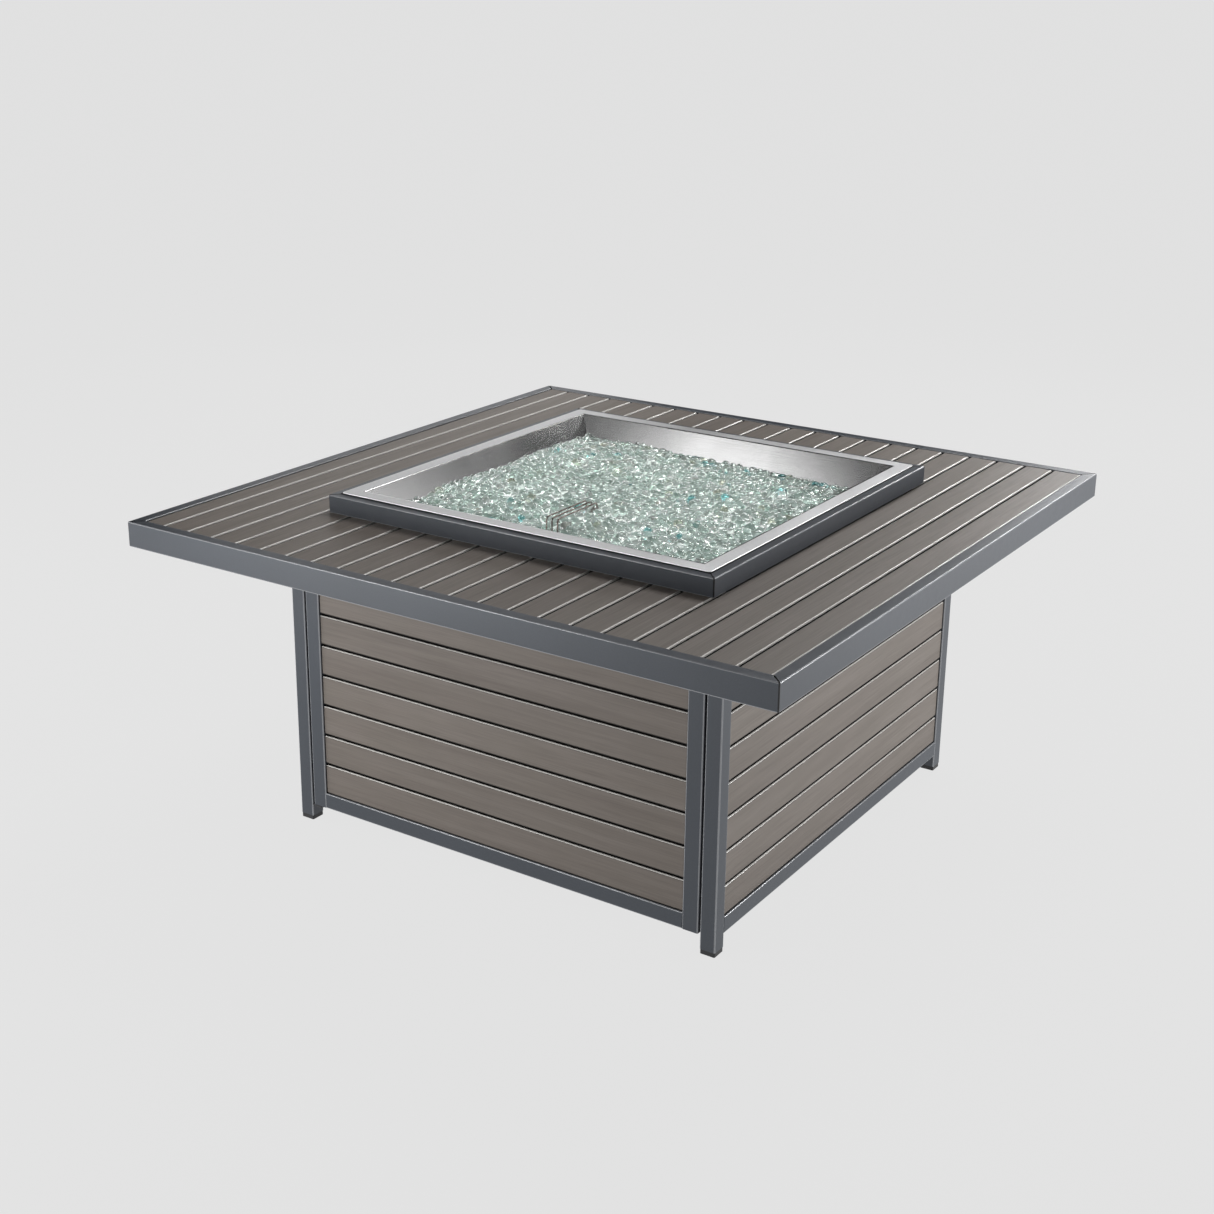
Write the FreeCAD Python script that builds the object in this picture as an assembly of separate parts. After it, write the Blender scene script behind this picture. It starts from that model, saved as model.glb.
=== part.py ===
"""Square gas fire pit table: slatted top, burner pan in a raised frame, slatted base with a door.

Millimetres, +Z up. The origin is on the floor under the centre of the table. The door faces -Y, and each STEP
file in parts/ holds one sub-part.
"""
import FreeCAD
import Part
import math
import os

V = FreeCAD.Vector
UP = V(0, 0, 1)
INWARD = V(0, 1, 0)
RIGHTWARD = V(1, 0, 0)
CUT_SPARE = 1.0

# ---- driving dimensions: table top ----
TABLE_SIDE = 1283.0
TABLE_TOP = 592.0
EDGE_WIDTH = 22.0
EDGE_HEIGHT = 45.5
TUBE_WALL = 2.0
TUBE_RADIUS = 2.0

SLAT_PITCH = 56.8
SLAT_GAP = 4.0
SLAT_THICK = 16.0
SLAT_DROP = 1.5
SLAT_END_GAP = 1.0
SLAT_RADIUS = 1.6
LIP_THICK = 4.0
LIP_CLEAR = 0.3
LIP_ROOT = 8.0

BEARER_WIDTH = 25.0
BEARER_HEIGHT = 26.0
OUTER_BEARER_Y = 530.0
INNER_BEARER_Y = 365.0
LEDGE_LEG = 20.0
LEDGE_THICK = 2.0

# ---- raised frame and burner pan ----
CURB_HALF = 394.0
CURB_WIDTH = 40.0
CURB_HEIGHT = 33.0
SHORT_SLAT_END = 350.0
FULL_SLAT_CLEAR = 334.0
GASKET_HALF = 374.0
GASKET_WIDTH = 22.0
GASKET_THICK = 1.5
FLANGE_HALF = 377.5
FLANGE_RADIUS = 6.0
PAN_HALF = 348.5
PAN_DEPTH = 76.0
PAN_SHEET = 1.5
PAN_SLOPE = 0.75
PAN_SHEET_ACROSS = PAN_SHEET * math.sqrt(1 + PAN_SLOPE ** 2)
FEED_HOLE_R = 15.0
PILOT_SLOT_HALF = 6.0
GLASS_EDGE_DEPTH = 36.5
GLASS_TOP_DEPTH = 15.0
GLASS_CROWN_HALF = 200.0
BURNER_ROOM_R = 153.0
BURNER_ROOM_HEIGHT = 25.0

# ---- burner and pilot ----
RING_R = 140.0
RING_TUBE_R = 8.0
RING_SHEET = 1.2
RING_RISE = 14.0
PORT_R = 1.5
PORT_COUNT = 24
HUB_R = 15.0
HUB_HEIGHT = 20.0
ARM_R = 6.0
FEED_R = 11.0
FEED_BOTTOM = 535.0
MIXER_R = 15.0
MIXER_HEIGHT = 40.0
MIXER_CHAMBER_R = 9.0
AIR_HOLE_R = 4.0
GAS_TUBE_R = 4.75
GAS_BEND_R = 25.0
PILOT_X = 4.0
PILOT_Y = -225.0
BRACKET_MARGIN = 9.0
HOOD_R = 7.0
HOOD_HEIGHT = 48.0
HOOD_SHEET = 1.0
HOOD_WINDOW_HALF = 3.0
HOOD_WINDOW = (0.7, 0.85)
PROBE_R = 2.5
PROBE_OFFSET = 17.0
PROBE_SHARE = 0.9
PROBE_NUT_R = 4.0
PROBE_NUT_HEIGHT = 6.0
CERAMIC_R = 3.2
CERAMIC_SHARE = 0.6
SPARK_R = 0.9
SPARK_RISE = 10.0
SPARK_TIP = V(-6, 0, 14)
SPARK_BEND_R = 3.0
GUARD_WIRE_R = 1.3
GUARD_PITCH = 11.5
GUARD_FRONT_Y = -272.0
GUARD_BACK_Y = -150.0
GUARD_TOP = 620.0
GUARD_BEND_R = 6.0
LINE_R = 2.5
LINE_BEND_R = 16.0
LINE_LEVELS = (520.0, 508.0, 496.0)
LINE_DEPTHS = (14.0, 26.0, 38.0)
LINE_END_SPREAD = 10.0

# ---- controls ----
PLATE_X = (150.0, 330.0)
PLATE_BOTTOM = 405.0
PLATE_FRONT_Y = -382.0
PLATE_THICK = 2.0
PLATE_UPSTAND = 25.0
VALVE_X = 215.0
IGNITER_X = 285.0
CONTROL_Z = 457.0
VALVE_HALF = 22.0
VALVE_DEPTH = 48.0
VALVE_RADIUS = 4.0
STEM_R = 4.0
STEM_IN = 12.0
STEM_END_CLEAR = 0.2
STEM_FLAT = 2.4
STEM_HOLE_CLEAR = 1.0
FIT = 0.05
KNOB_R = 20.0
KNOB_LENGTH = 22.0
KNOB_GAP = 4.5
KNOB_BORE = 17.0
KNOB_GRIPS = 12
GRIP_R = 3.0
GRIP_OUT = 1.5
GRIP_STOP = 5.0
STEM_OUT = 17.0
IGNITER_R = 11.0
IGNITER_DEPTH = 40.0
BUTTON_R = 7.0
BUTTON_CLEAR = 0.2
BUTTON_LENGTH = 16.0
BUTTON_PROUD = 7.0
BUTTON_TRAVEL_ROOM = 2.0
BEZEL_R = 14.0
BEZEL_THICK = 2.5
INLET_R = 7.94
INLET_LENGTH = 16.0
INLET_HEX = 19.0
INLET_HEX_HEIGHT = 9.0

# ---- base ----
BASE_HALF = 445.0
LEG = 28.6
LEG_TOP = TABLE_TOP - SLAT_DROP - SLAT_THICK - BEARER_HEIGHT
FOOT_HEIGHT = 8.0
FOOT_INSET = 0.6
FOOT_PLUG = 22.0
RAIL_BOTTOM = 32.0
RAIL_HEIGHT = 30.5
TOP_RAIL_HEIGHT = 38.1
PANEL_SLAT_THICK = 14.0
PANEL_RECESS = 3.0
PANEL_PITCH = 60.3
PANEL_FIRST = 54.5
BATTEN_WIDTH = 30.0
BATTEN_PLACES = (-395.0, 0.0, 395.0)

# ---- door ----
DOOR_GAP = 4.0
DOOR_BOTTOM = 33.5
DOOR_TOP = 505.0
DOOR_THICK = 22.0
DOOR_FRAME = 30.0
DOOR_PITCH = 58.5
DOOR_SLATS = 7
DOOR_BATTEN_THICK = 4.0
DOOR_BATTEN_X = (-180.0, 180.0)
PIVOT_INSET = 8.0
PIN_R = 3.0
PIN_FIT = 0.08
PIN_COLLAR_R = 5.0
LUG_THICK = 3.0
LUG_SIZE = 20.0
LUG_INSET = 1.0
LUG_RADIUS = 4.0
HINGE_COLLAR = 1.0
PLUG_HEIGHT = 14.0
CATCH_X = 370.0
CATCH_WIDTH = 44.0
STRIKE_THICK = 1.5
STRIKE_HEIGHT = 19.0
STRIKE_DROP = 1.0
MAGNET_SIZE = 14.0
MAGNET_RADIUS = 2.0

TABLE_HALF = TABLE_SIDE / 2
INNER_HALF = TABLE_HALF - EDGE_WIDTH
SLAT_TOP = TABLE_TOP - SLAT_DROP
SLAT_BOTTOM = SLAT_TOP - SLAT_THICK
CURB_TOP = SLAT_TOP + CURB_HEIGHT
RIM = CURB_TOP + GASKET_THICK + PAN_SHEET
PAN_FLOOR = RIM - PAN_DEPTH
LEG_INNER = BASE_HALF - LEG
TOP_RAIL_BOTTOM = LEG_TOP - TOP_RAIL_HEIGHT
PANEL_BOTTOM = RAIL_BOTTOM + RAIL_HEIGHT
DOOR_HALF = LEG_INNER - DOOR_GAP
DOOR_INNER = DOOR_HALF - DOOR_FRAME
DOOR_FACE_Y = -BASE_HALF
DOOR_BACK_Y = DOOR_FACE_Y + DOOR_THICK
PIVOT = V(-DOOR_HALF + PIVOT_INSET, DOOR_FACE_Y + PIVOT_INSET, 0)


def box(x, y, z):
    """Box from three (low, high) pairs."""
    return Part.makeBox(x[1] - x[0], y[1] - y[0], z[1] - z[0], V(x[0], y[0], z[0]))


def rounded(shape, radius, along, keep=lambda p: True):
    """Rounds the straight edges that run along one axis and whose middle passes keep."""
    edges = []
    for edge in shape.Edges:
        run = (edge.valueAt(edge.LastParameter) - edge.valueAt(edge.FirstParameter)).normalize()
        if abs(run.dot(along)) > 0.999 and keep(edge.CenterOfMass):
            edges.append(edge)
    return shape.makeFillet(radius, edges)


def rod(radius, start, end):
    """Round bar between two points."""
    return Part.makeCylinder(radius, (end - start).Length, start, end - start)


def tube(x, y, z, along):
    """Rectangular tube with rounded long edges, open at both ends along one axis."""
    outer = rounded(box(x, y, z), TUBE_RADIUS, along)
    walls = [(lo + TUBE_WALL, hi - TUBE_WALL) for lo, hi in (x, y, z)]
    spans = [(x, y, z)[i] if along[i] else walls[i] for i in range(3)]
    return outer.cut(box(*spans))


def turned(shape, quarter_turns):
    """Copy turned about the table's upright centre line."""
    copy = shape.copy()
    copy.rotate(V(), UP, 90 * quarter_turns)
    return copy


def bent_bar(points, radius, bend):
    """Round bar through the points: straight runs joined by tangent arcs."""
    solids = []
    start = points[0]
    for before, corner, after in zip(points, points[1:], points[2:]):
        way_in = (corner - before).normalize()
        way_out = (after - corner).normalize()
        turn = math.acos(max(-1.0, min(1.0, way_in.dot(way_out))))
        back = bend * math.tan(turn / 2)
        arc_start = corner - way_in * back
        arc_end = corner + way_out * back
        axis = way_in.cross(way_out).normalize()
        centre = arc_start + axis.cross(way_in) * bend
        disc = Part.Face(Part.Wire(Part.makeCircle(radius, arc_start, way_in)))
        solids.append(rod(radius, start, arc_start))
        solids.append(disc.revolve(centre, axis, math.degrees(turn)))
        start = arc_end
    solids.append(rod(radius, start, points[-1]))
    return solids[0].multiFuse(solids[1:]).removeSplitter()


def save(node, *shapes):
    """Writes one sub-part, a single solid or a group of separate ones."""
    solids = [solid for shape in shapes for solid in shape.Solids]
    shape = solids[0] if len(solids) == 1 else Part.makeCompound(solids)
    shape.exportStep("parts/%s.step" % node)


def mitred_frame(prefix, outer, width, z):
    """Four tubes of a square frame, each cut at 45 degrees at both ends."""
    straight = tube((-outer, outer), (-outer, -outer + width), z, RIGHTWARD)
    reach = outer + CUT_SPARE
    corners = [V(-reach, -reach, z[0]), V(reach, -reach, z[0]), V(0, 0, z[0])]
    wedge = Part.Face(Part.makePolygon(corners + corners[:1])).extrude(UP * (z[1] - z[0]))
    piece = straight.common(wedge)
    for turns, side in enumerate(("front", "right", "back", "left")):
        save("%s_%s" % (prefix, side), turned(piece, turns))


def slat_spans():
    """Left and right edge of each table slat, from the right-hand edge rail to the left-hand one."""
    spans = []
    right = INNER_HALF - SLAT_END_GAP
    gap_middle = INNER_HALF - SLAT_PITCH
    while gap_middle > -INNER_HALF:
        spans.append((gap_middle + SLAT_GAP / 2, right))
        right = gap_middle - SLAT_GAP / 2
        gap_middle -= SLAT_PITCH
    spans.append((-INNER_HALF + SLAT_END_GAP, right))
    return spans


def top_slat(x, y):
    """Table slat with its long top edges rounded, and a thin lip under the gap on its left."""
    slat = rounded(box(x, y, (SLAT_BOTTOM, SLAT_TOP)), SLAT_RADIUS, INWARD, lambda p: p.z > SLAT_TOP - 1)
    if x[0] < SLAT_END_GAP - INNER_HALF + SLAT_GAP:
        return slat
    lip = box((x[0] - SLAT_GAP + LIP_CLEAR, x[0] + LIP_ROOT), y, (SLAT_BOTTOM, SLAT_BOTTOM + LIP_THICK))
    return slat.fuse(lip).removeSplitter()


def make_top_slats():
    """Full-length slats left and right of the pan, shorter ones in front of it and behind it."""
    end = INNER_HALF - SLAT_END_GAP
    groups = {"left": [], "right": [], "front": [], "back": []}
    for span in slat_spans():
        if span[1] <= -FULL_SLAT_CLEAR:
            groups["left"].append(top_slat(span, (-end, end)))
        elif span[0] >= FULL_SLAT_CLEAR:
            groups["right"].append(top_slat(span, (-end, end)))
        else:
            groups["front"].append(top_slat(span, (-end, -SHORT_SLAT_END)))
            groups["back"].append(top_slat(span, (SHORT_SLAT_END, end)))
    for side, slats in groups.items():
        save("top_slats_" + side, *slats)


def make_top_supports():
    """Ledge angles under the slat ends, cross bearers and the headers between the inner pair."""
    level = (SLAT_BOTTOM - BEARER_HEIGHT, SLAT_BOTTOM)
    across = (-INNER_HALF, INNER_HALF)
    shelf = box(across, (-INNER_HALF, -INNER_HALF + LEDGE_LEG), (SLAT_BOTTOM - LEDGE_THICK, SLAT_BOTTOM))
    upright = box(across, (-INNER_HALF, -INNER_HALF + LEDGE_THICK), (SLAT_BOTTOM - LEDGE_LEG, SLAT_BOTTOM))
    ledge = shelf.fuse(upright).removeSplitter()
    save("slat_ledges", ledge, turned(ledge, 2))

    half = BEARER_WIDTH / 2
    members = []
    for y in (-OUTER_BEARER_Y, -INNER_BEARER_Y, INNER_BEARER_Y, OUTER_BEARER_Y):
        members.append(tube(across, (y - half, y + half), level, RIGHTWARD))
    between = (-INNER_BEARER_Y + half, INNER_BEARER_Y - half)
    for x in (-INNER_BEARER_Y, INNER_BEARER_Y):
        members.append(tube((x - half, x + half), between, level, INWARD))
    save("top_bearers", *members)


def square_wire(half, z):
    """Level square about the centre line."""
    corners = [V(-half, -half, z), V(half, -half, z), V(half, half, z), V(-half, half, z)]
    return Part.makePolygon(corners + corners[:1])


def frustum(low_half, low_z, high_half, high_z):
    """Solid between two level squares of different size."""
    return Part.makeLoft([square_wire(low_half, low_z), square_wire(high_half, high_z)], True, True)


def pan_half_at(depth):
    """Half width inside the pan at a depth below its rim."""
    return PAN_HALF - PAN_SLOPE * depth


def make_pan():
    """Drop-in pan: flat flange, sloping walls and a flat floor with the burner and pilot holes."""
    flange = box((-FLANGE_HALF, FLANGE_HALF), (-FLANGE_HALF, FLANGE_HALF), (RIM - PAN_SHEET, RIM))
    flange = rounded(flange, FLANGE_RADIUS, UP)
    depth = PAN_DEPTH + PAN_SHEET
    outer = frustum(pan_half_at(depth) + PAN_SHEET_ACROSS, RIM - depth, PAN_HALF + PAN_SHEET_ACROSS, RIM)
    inner = frustum(pan_half_at(PAN_DEPTH), PAN_FLOOR, PAN_HALF, RIM)
    pan = outer.fuse(flange).cut(inner)
    pan = pan.cut(Part.makeCylinder(FEED_HOLE_R, 4 * PAN_SHEET, V(0, 0, PAN_FLOOR - 3 * PAN_SHEET)))
    slot_half = PROBE_OFFSET + 2 * PROBE_R
    slot = box(
        (PILOT_X - slot_half, PILOT_X + slot_half),
        (PILOT_Y - PILOT_SLOT_HALF, PILOT_Y + PILOT_SLOT_HALF),
        (PAN_FLOOR - 3 * PAN_SHEET, PAN_FLOOR + CUT_SPARE),
    )
    save("burner_pan", pan.cut(slot))

    ring = box((-GASKET_HALF, GASKET_HALF), (-GASKET_HALF, GASKET_HALF), (CURB_TOP, CURB_TOP + GASKET_THICK))
    hole_half = GASKET_HALF - GASKET_WIDTH
    hole = box((-hole_half, hole_half), (-hole_half, hole_half), (CURB_TOP - CUT_SPARE, RIM))
    save("pan_gasket", ring.cut(hole))


def make_fire_glass():
    """Closed bed of glass, low at the walls and crowned, with room left for the burner and the pilot."""
    edge_half = pan_half_at(GLASS_EDGE_DEPTH)
    bed = frustum(pan_half_at(PAN_DEPTH), PAN_FLOOR, edge_half, RIM - GLASS_EDGE_DEPTH)
    crown = frustum(edge_half, RIM - GLASS_EDGE_DEPTH, GLASS_CROWN_HALF, RIM - GLASS_TOP_DEPTH)
    room = Part.makeCylinder(BURNER_ROOM_R, BURNER_ROOM_HEIGHT, V(0, 0, PAN_FLOOR))
    side = GUARD_PITCH + 3 * GUARD_WIRE_R + PROBE_OFFSET
    pocket = box(
        (PILOT_X - side, PILOT_X + side),
        (GUARD_FRONT_Y - 4 * GUARD_WIRE_R, GUARD_BACK_Y + 4 * GUARD_WIRE_R),
        (PAN_FLOOR, RIM),
    )
    save("fire_glass", bed.fuse(crown).removeSplitter().cut(room).cut(pocket))


def make_burner():
    """Ring tube with ports, hub with four arms, down pipe and brass air mixer."""
    ring_z = PAN_FLOOR + RING_RISE
    torus = Part.makeTorus(RING_R, RING_TUBE_R, V(0, 0, ring_z), UP)
    bore = Part.makeTorus(RING_R, RING_TUBE_R - RING_SHEET, V(0, 0, ring_z), UP)
    ring = torus.cut(bore)
    for i in range(PORT_COUNT):
        angle = 2 * math.pi * (i + 0.5) / PORT_COUNT
        foot = V(RING_R * math.cos(angle), RING_R * math.sin(angle), ring_z)
        ring = ring.cut(rod(PORT_R, foot, foot + UP * RING_TUBE_R * 2))
    save("burner_ring", ring)

    hub_low = ring_z - HUB_HEIGHT / 2
    hub = Part.makeCylinder(HUB_R, HUB_HEIGHT, V(0, 0, hub_low))
    pipe = Part.makeCylinder(FEED_R, hub_low - FEED_BOTTOM, V(0, 0, FEED_BOTTOM))
    feed = hub.fuse(pipe)
    centre = V(0, 0, ring_z)
    for way in (RIGHTWARD, INWARD):
        feed = feed.fuse(rod(ARM_R, centre - way * RING_R, centre + way * RING_R))
    within_ring = Part.makeCylinder(RING_R, 2 * MIXER_HEIGHT, V(0, 0, FEED_BOTTOM))
    save("burner_feed", feed.common(within_ring).cut(torus))

    mixer = Part.makeCylinder(MIXER_R, MIXER_HEIGHT, V(0, 0, FEED_BOTTOM - MIXER_HEIGHT))
    middle = V(0, 0, FEED_BOTTOM - MIXER_HEIGHT / 2)
    chamber = Part.makeCylinder(MIXER_CHAMBER_R, MIXER_HEIGHT / 2, middle - UP * MIXER_HEIGHT / 4)
    mixer = mixer.cut(chamber)
    for way in (RIGHTWARD, INWARD):
        mixer = mixer.cut(rod(AIR_HOLE_R, middle - way * 2 * MIXER_R, middle + way * 2 * MIXER_R))
    save("air_mixer", mixer)

    outlet = V(VALVE_X, PLATE_FRONT_Y + PLATE_THICK + VALVE_DEPTH, CONTROL_Z)
    route = [outlet, V(VALVE_X, 0, CONTROL_Z), V(0, 0, CONTROL_Z), V(0, 0, FEED_BOTTOM - MIXER_HEIGHT)]
    save("gas_tube", bent_bar(route, GAS_TUBE_R, GAS_BEND_R))


def make_pilot():
    """Pilot bracket, hood, thermocouple and spark electrode under a guard of three bent wires."""
    base_top = PAN_FLOOR + PAN_SHEET
    half = PROBE_OFFSET + BRACKET_MARGIN
    front = GUARD_FRONT_Y - 2 * GUARD_WIRE_R
    back = GUARD_BACK_Y + 2 * GUARD_WIRE_R
    plate = box((PILOT_X - half, PILOT_X + half), (front, back), (PAN_FLOOR, base_top))
    for offset in (-PROBE_OFFSET, 0, PROBE_OFFSET):
        low = V(PILOT_X + offset, PILOT_Y, PAN_FLOOR - PAN_SHEET)
        plate = plate.cut(Part.makeCylinder(LINE_R, 4 * PAN_SHEET, low))
    save("pilot_bracket", plate)

    foot = V(PILOT_X, PILOT_Y, base_top)
    hood = Part.makeCylinder(HOOD_R, HOOD_HEIGHT, foot)
    hood = hood.cut(Part.makeCylinder(HOOD_R - HOOD_SHEET, HOOD_HEIGHT / 2, foot + UP * HOOD_HEIGHT / 2))
    window = box(
        (PILOT_X - HOOD_WINDOW_HALF, PILOT_X + HOOD_WINDOW_HALF),
        (PILOT_Y - 2 * HOOD_R, PILOT_Y + 2 * HOOD_R),
        [base_top + share * HOOD_HEIGHT for share in HOOD_WINDOW],
    )
    save("pilot_hood", hood.cut(window))

    probe_foot = V(PILOT_X - PROBE_OFFSET, PILOT_Y, base_top)
    probe = Part.makeCylinder(PROBE_R, PROBE_SHARE * HOOD_HEIGHT, probe_foot)
    save("thermocouple", probe.fuse(Part.makeCylinder(PROBE_NUT_R, PROBE_NUT_HEIGHT, probe_foot)))

    spark_foot = V(PILOT_X + PROBE_OFFSET, PILOT_Y, base_top)
    ceramic = Part.makeCylinder(CERAMIC_R, CERAMIC_SHARE * HOOD_HEIGHT, spark_foot)
    tip_low = spark_foot + UP * CERAMIC_SHARE * HOOD_HEIGHT
    tip = bent_bar([tip_low, tip_low + UP * SPARK_RISE, tip_low + SPARK_TIP], SPARK_R, SPARK_BEND_R)
    save("spark_electrode", ceramic.fuse(tip))

    wires = []
    for offset in (-GUARD_PITCH, 0, GUARD_PITCH):
        x = PILOT_X + offset
        route = [
            V(x, GUARD_FRONT_Y, base_top),
            V(x, GUARD_FRONT_Y, GUARD_TOP),
            V(x, GUARD_BACK_Y, GUARD_TOP),
            V(x, GUARD_BACK_Y, base_top),
        ]
        wires.append(bent_bar(route, GUARD_WIRE_R, GUARD_BEND_R))
    across = RIGHTWARD * GUARD_PITCH
    for y in (GUARD_FRONT_Y, GUARD_BACK_Y):
        tie = V(PILOT_X, y, base_top + 3 * GUARD_WIRE_R)
        wires.append(rod(GUARD_WIRE_R, tie - across, tie + across))
    save("pilot_guard", wires[0].multiFuse(wires[1:]))


def make_pilot_lines():
    """Pilot gas tube, thermocouple lead and spark lead, from the pilot down and across to the controls."""
    valve_top = CONTROL_Z + VALVE_HALF
    start_z = PAN_FLOOR + PAN_SHEET
    behind = PLATE_FRONT_Y + PLATE_THICK
    ends = (
        (PROBE_OFFSET, IGNITER_X, CONTROL_Z + IGNITER_R),
        (0.0, VALVE_X - LINE_END_SPREAD, valve_top),
        (-PROBE_OFFSET, VALVE_X + LINE_END_SPREAD, valve_top),
    )
    lines = []
    for (offset, end_x, end_z), level, depth in zip(ends, LINE_LEVELS, LINE_DEPTHS):
        x = PILOT_X + offset
        cross_y = behind + depth
        route = [
            V(x, PILOT_Y, start_z),
            V(x, PILOT_Y, level),
            V(x, cross_y, level),
            V(end_x, cross_y, level),
            V(end_x, cross_y, end_z),
        ]
        bend = min(LINE_BEND_R, level - end_z - 1)
        lines.append(bent_bar(route, LINE_R, bend))
    save("pilot_lines", *lines)


def make_controls():
    """Hanging plate behind the door with the gas valve, its stem and the knob."""
    behind = PLATE_FRONT_Y + PLATE_THICK
    shelf_low = TOP_RAIL_BOTTOM - PLATE_THICK
    upstand_top = TOP_RAIL_BOTTOM + PLATE_UPSTAND
    upstand = box(PLATE_X, (-LEG_INNER, -LEG_INNER + PLATE_THICK), (shelf_low, upstand_top))
    shelf = box(PLATE_X, (-LEG_INNER, behind), (shelf_low, TOP_RAIL_BOTTOM))
    face = box(PLATE_X, (PLATE_FRONT_Y, behind), (PLATE_BOTTOM, TOP_RAIL_BOTTOM))
    plate = upstand.fuse(shelf).fuse(face).removeSplitter()
    stem_axis = V(VALVE_X, PLATE_FRONT_Y, CONTROL_Z)
    igniter_axis = V(IGNITER_X, PLATE_FRONT_Y, CONTROL_Z)
    through = INWARD * 2 * PLATE_THICK
    plate = plate.cut(rod(STEM_R + STEM_HOLE_CLEAR, stem_axis - through, stem_axis + through))
    plate = plate.cut(rod(IGNITER_R, igniter_axis - through, igniter_axis + through))
    save("control_plate", plate)

    body = box(
        (VALVE_X - VALVE_HALF, VALVE_X + VALVE_HALF),
        (behind, behind + VALVE_DEPTH),
        (CONTROL_Z - VALVE_HALF, CONTROL_Z + VALVE_HALF),
    )
    body = rounded(body, VALVE_RADIUS, INWARD)
    body = body.cut(rod(STEM_R + FIT, stem_axis, stem_axis + INWARD * (PLATE_THICK + STEM_IN)))
    save("gas_valve", body)

    stem_tip = stem_axis - INWARD * STEM_OUT
    stem = rod(STEM_R, stem_tip, stem_axis + INWARD * (PLATE_THICK + STEM_IN - STEM_END_CLEAR))
    beside = (VALVE_X - 2 * STEM_R, VALVE_X + 2 * STEM_R)
    above_flat = (CONTROL_Z + STEM_FLAT, CONTROL_Z + 2 * STEM_R)
    flat = box(beside, (stem_tip.y - CUT_SPARE, PLATE_FRONT_Y), above_flat)
    save("valve_stem", stem.cut(flat))

    knob_back = stem_axis - INWARD * KNOB_GAP
    knob_front = knob_back - INWARD * KNOB_LENGTH
    knob = rod(KNOB_R, knob_front, knob_back)
    for i in range(KNOB_GRIPS):
        angle = 2 * math.pi * i / KNOB_GRIPS
        side = V(math.cos(angle), 0, math.sin(angle)) * (KNOB_R + GRIP_OUT)
        knob = knob.cut(rod(GRIP_R, knob_front + side - INWARD, knob_back + side - INWARD * GRIP_STOP))
    bore_end = knob_back - INWARD * KNOB_BORE
    bore = rod(STEM_R + FIT, bore_end, knob_back)
    key = box(beside, (bore_end.y, knob_back.y), (above_flat[0] + FIT, above_flat[1]))
    save("control_knob", knob.cut(bore.cut(key)))


def make_igniter_and_inlet():
    """Push igniter in its bezel, and the threaded spigot under the valve for a hose nut."""
    igniter_axis = V(IGNITER_X, PLATE_FRONT_Y, CONTROL_Z)
    bezel_front = igniter_axis - INWARD * BEZEL_THICK
    housing = rod(IGNITER_R, bezel_front, igniter_axis + INWARD * (PLATE_THICK + IGNITER_DEPTH))
    housing = housing.fuse(rod(BEZEL_R, bezel_front, igniter_axis))
    cavity_end = igniter_axis + INWARD * (BUTTON_LENGTH + BUTTON_TRAVEL_ROOM)
    cavity = rod(BUTTON_R + BUTTON_CLEAR, bezel_front - INWARD, cavity_end)
    save("igniter_housing", housing.cut(cavity))
    button_front = bezel_front - INWARD * BUTTON_PROUD
    button = rod(BUTTON_R, button_front, button_front + INWARD * BUTTON_LENGTH)
    save("igniter_button", button)

    top = V(VALVE_X, PLATE_FRONT_Y + PLATE_THICK + VALVE_DEPTH / 2, CONTROL_Z - VALVE_HALF)
    corners = []
    for i in range(6):
        angle = i * math.pi / 3
        corners.append(top + V(math.cos(angle), math.sin(angle), 0) * (INLET_HEX / math.sqrt(3)))
    nut = Part.Face(Part.makePolygon(corners + corners[:1])).extrude(UP * -INLET_HEX_HEIGHT)
    spigot = Part.makeCylinder(INLET_R, INLET_LENGTH, top - UP * (INLET_HEX_HEIGHT + INLET_LENGTH))
    save("gas_inlet", nut.fuse(spigot))


def make_legs():
    """Square tube legs and the plastic caps they stand on."""
    leg = tube((-BASE_HALF, -LEG_INNER), (-BASE_HALF, -LEG_INNER), (FOOT_HEIGHT, LEG_TOP), UP)
    foot = box(
        (-BASE_HALF + FOOT_INSET, -LEG_INNER - FOOT_INSET),
        (-BASE_HALF + FOOT_INSET, -LEG_INNER - FOOT_INSET),
        (0, FOOT_HEIGHT),
    )
    foot = rounded(foot, TUBE_RADIUS, UP)
    plug_room = (-BASE_HALF + TUBE_WALL, -LEG_INNER - TUBE_WALL)
    cap = foot.fuse(box(plug_room, plug_room, (FOOT_HEIGHT, FOOT_HEIGHT + FOOT_PLUG)))
    names = ("leg_front_left", "leg_front_right", "leg_back_right", "leg_back_left")
    for turns, name in enumerate(names):
        save(name, turned(leg, turns))
    save("foot_caps", *[turned(cap, turns) for turns in range(4)])


def make_base_rails():
    """Top rails on all four sides, bottom rails on the three closed sides."""
    span = (-LEG_INNER, LEG_INNER)
    depth = (-BASE_HALF, -LEG_INNER)
    top = tube(span, depth, (TOP_RAIL_BOTTOM, LEG_TOP), RIGHTWARD)
    bottom = tube(span, depth, (RAIL_BOTTOM, PANEL_BOTTOM), RIGHTWARD)
    hole_low = PIVOT + UP * (TOP_RAIL_BOTTOM - CUT_SPARE)
    pin_hole = rod(PIN_R + PIN_FIT, hole_low, hole_low + UP * 2 * TUBE_WALL)
    save("rail_front_top", top.cut(pin_hole))
    for turns, side in ((1, "right"), (2, "back"), (3, "left")):
        save("rail_%s_top" % side, turned(top, turns))
        save("rail_%s_bottom" % side, turned(bottom, turns))


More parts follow.
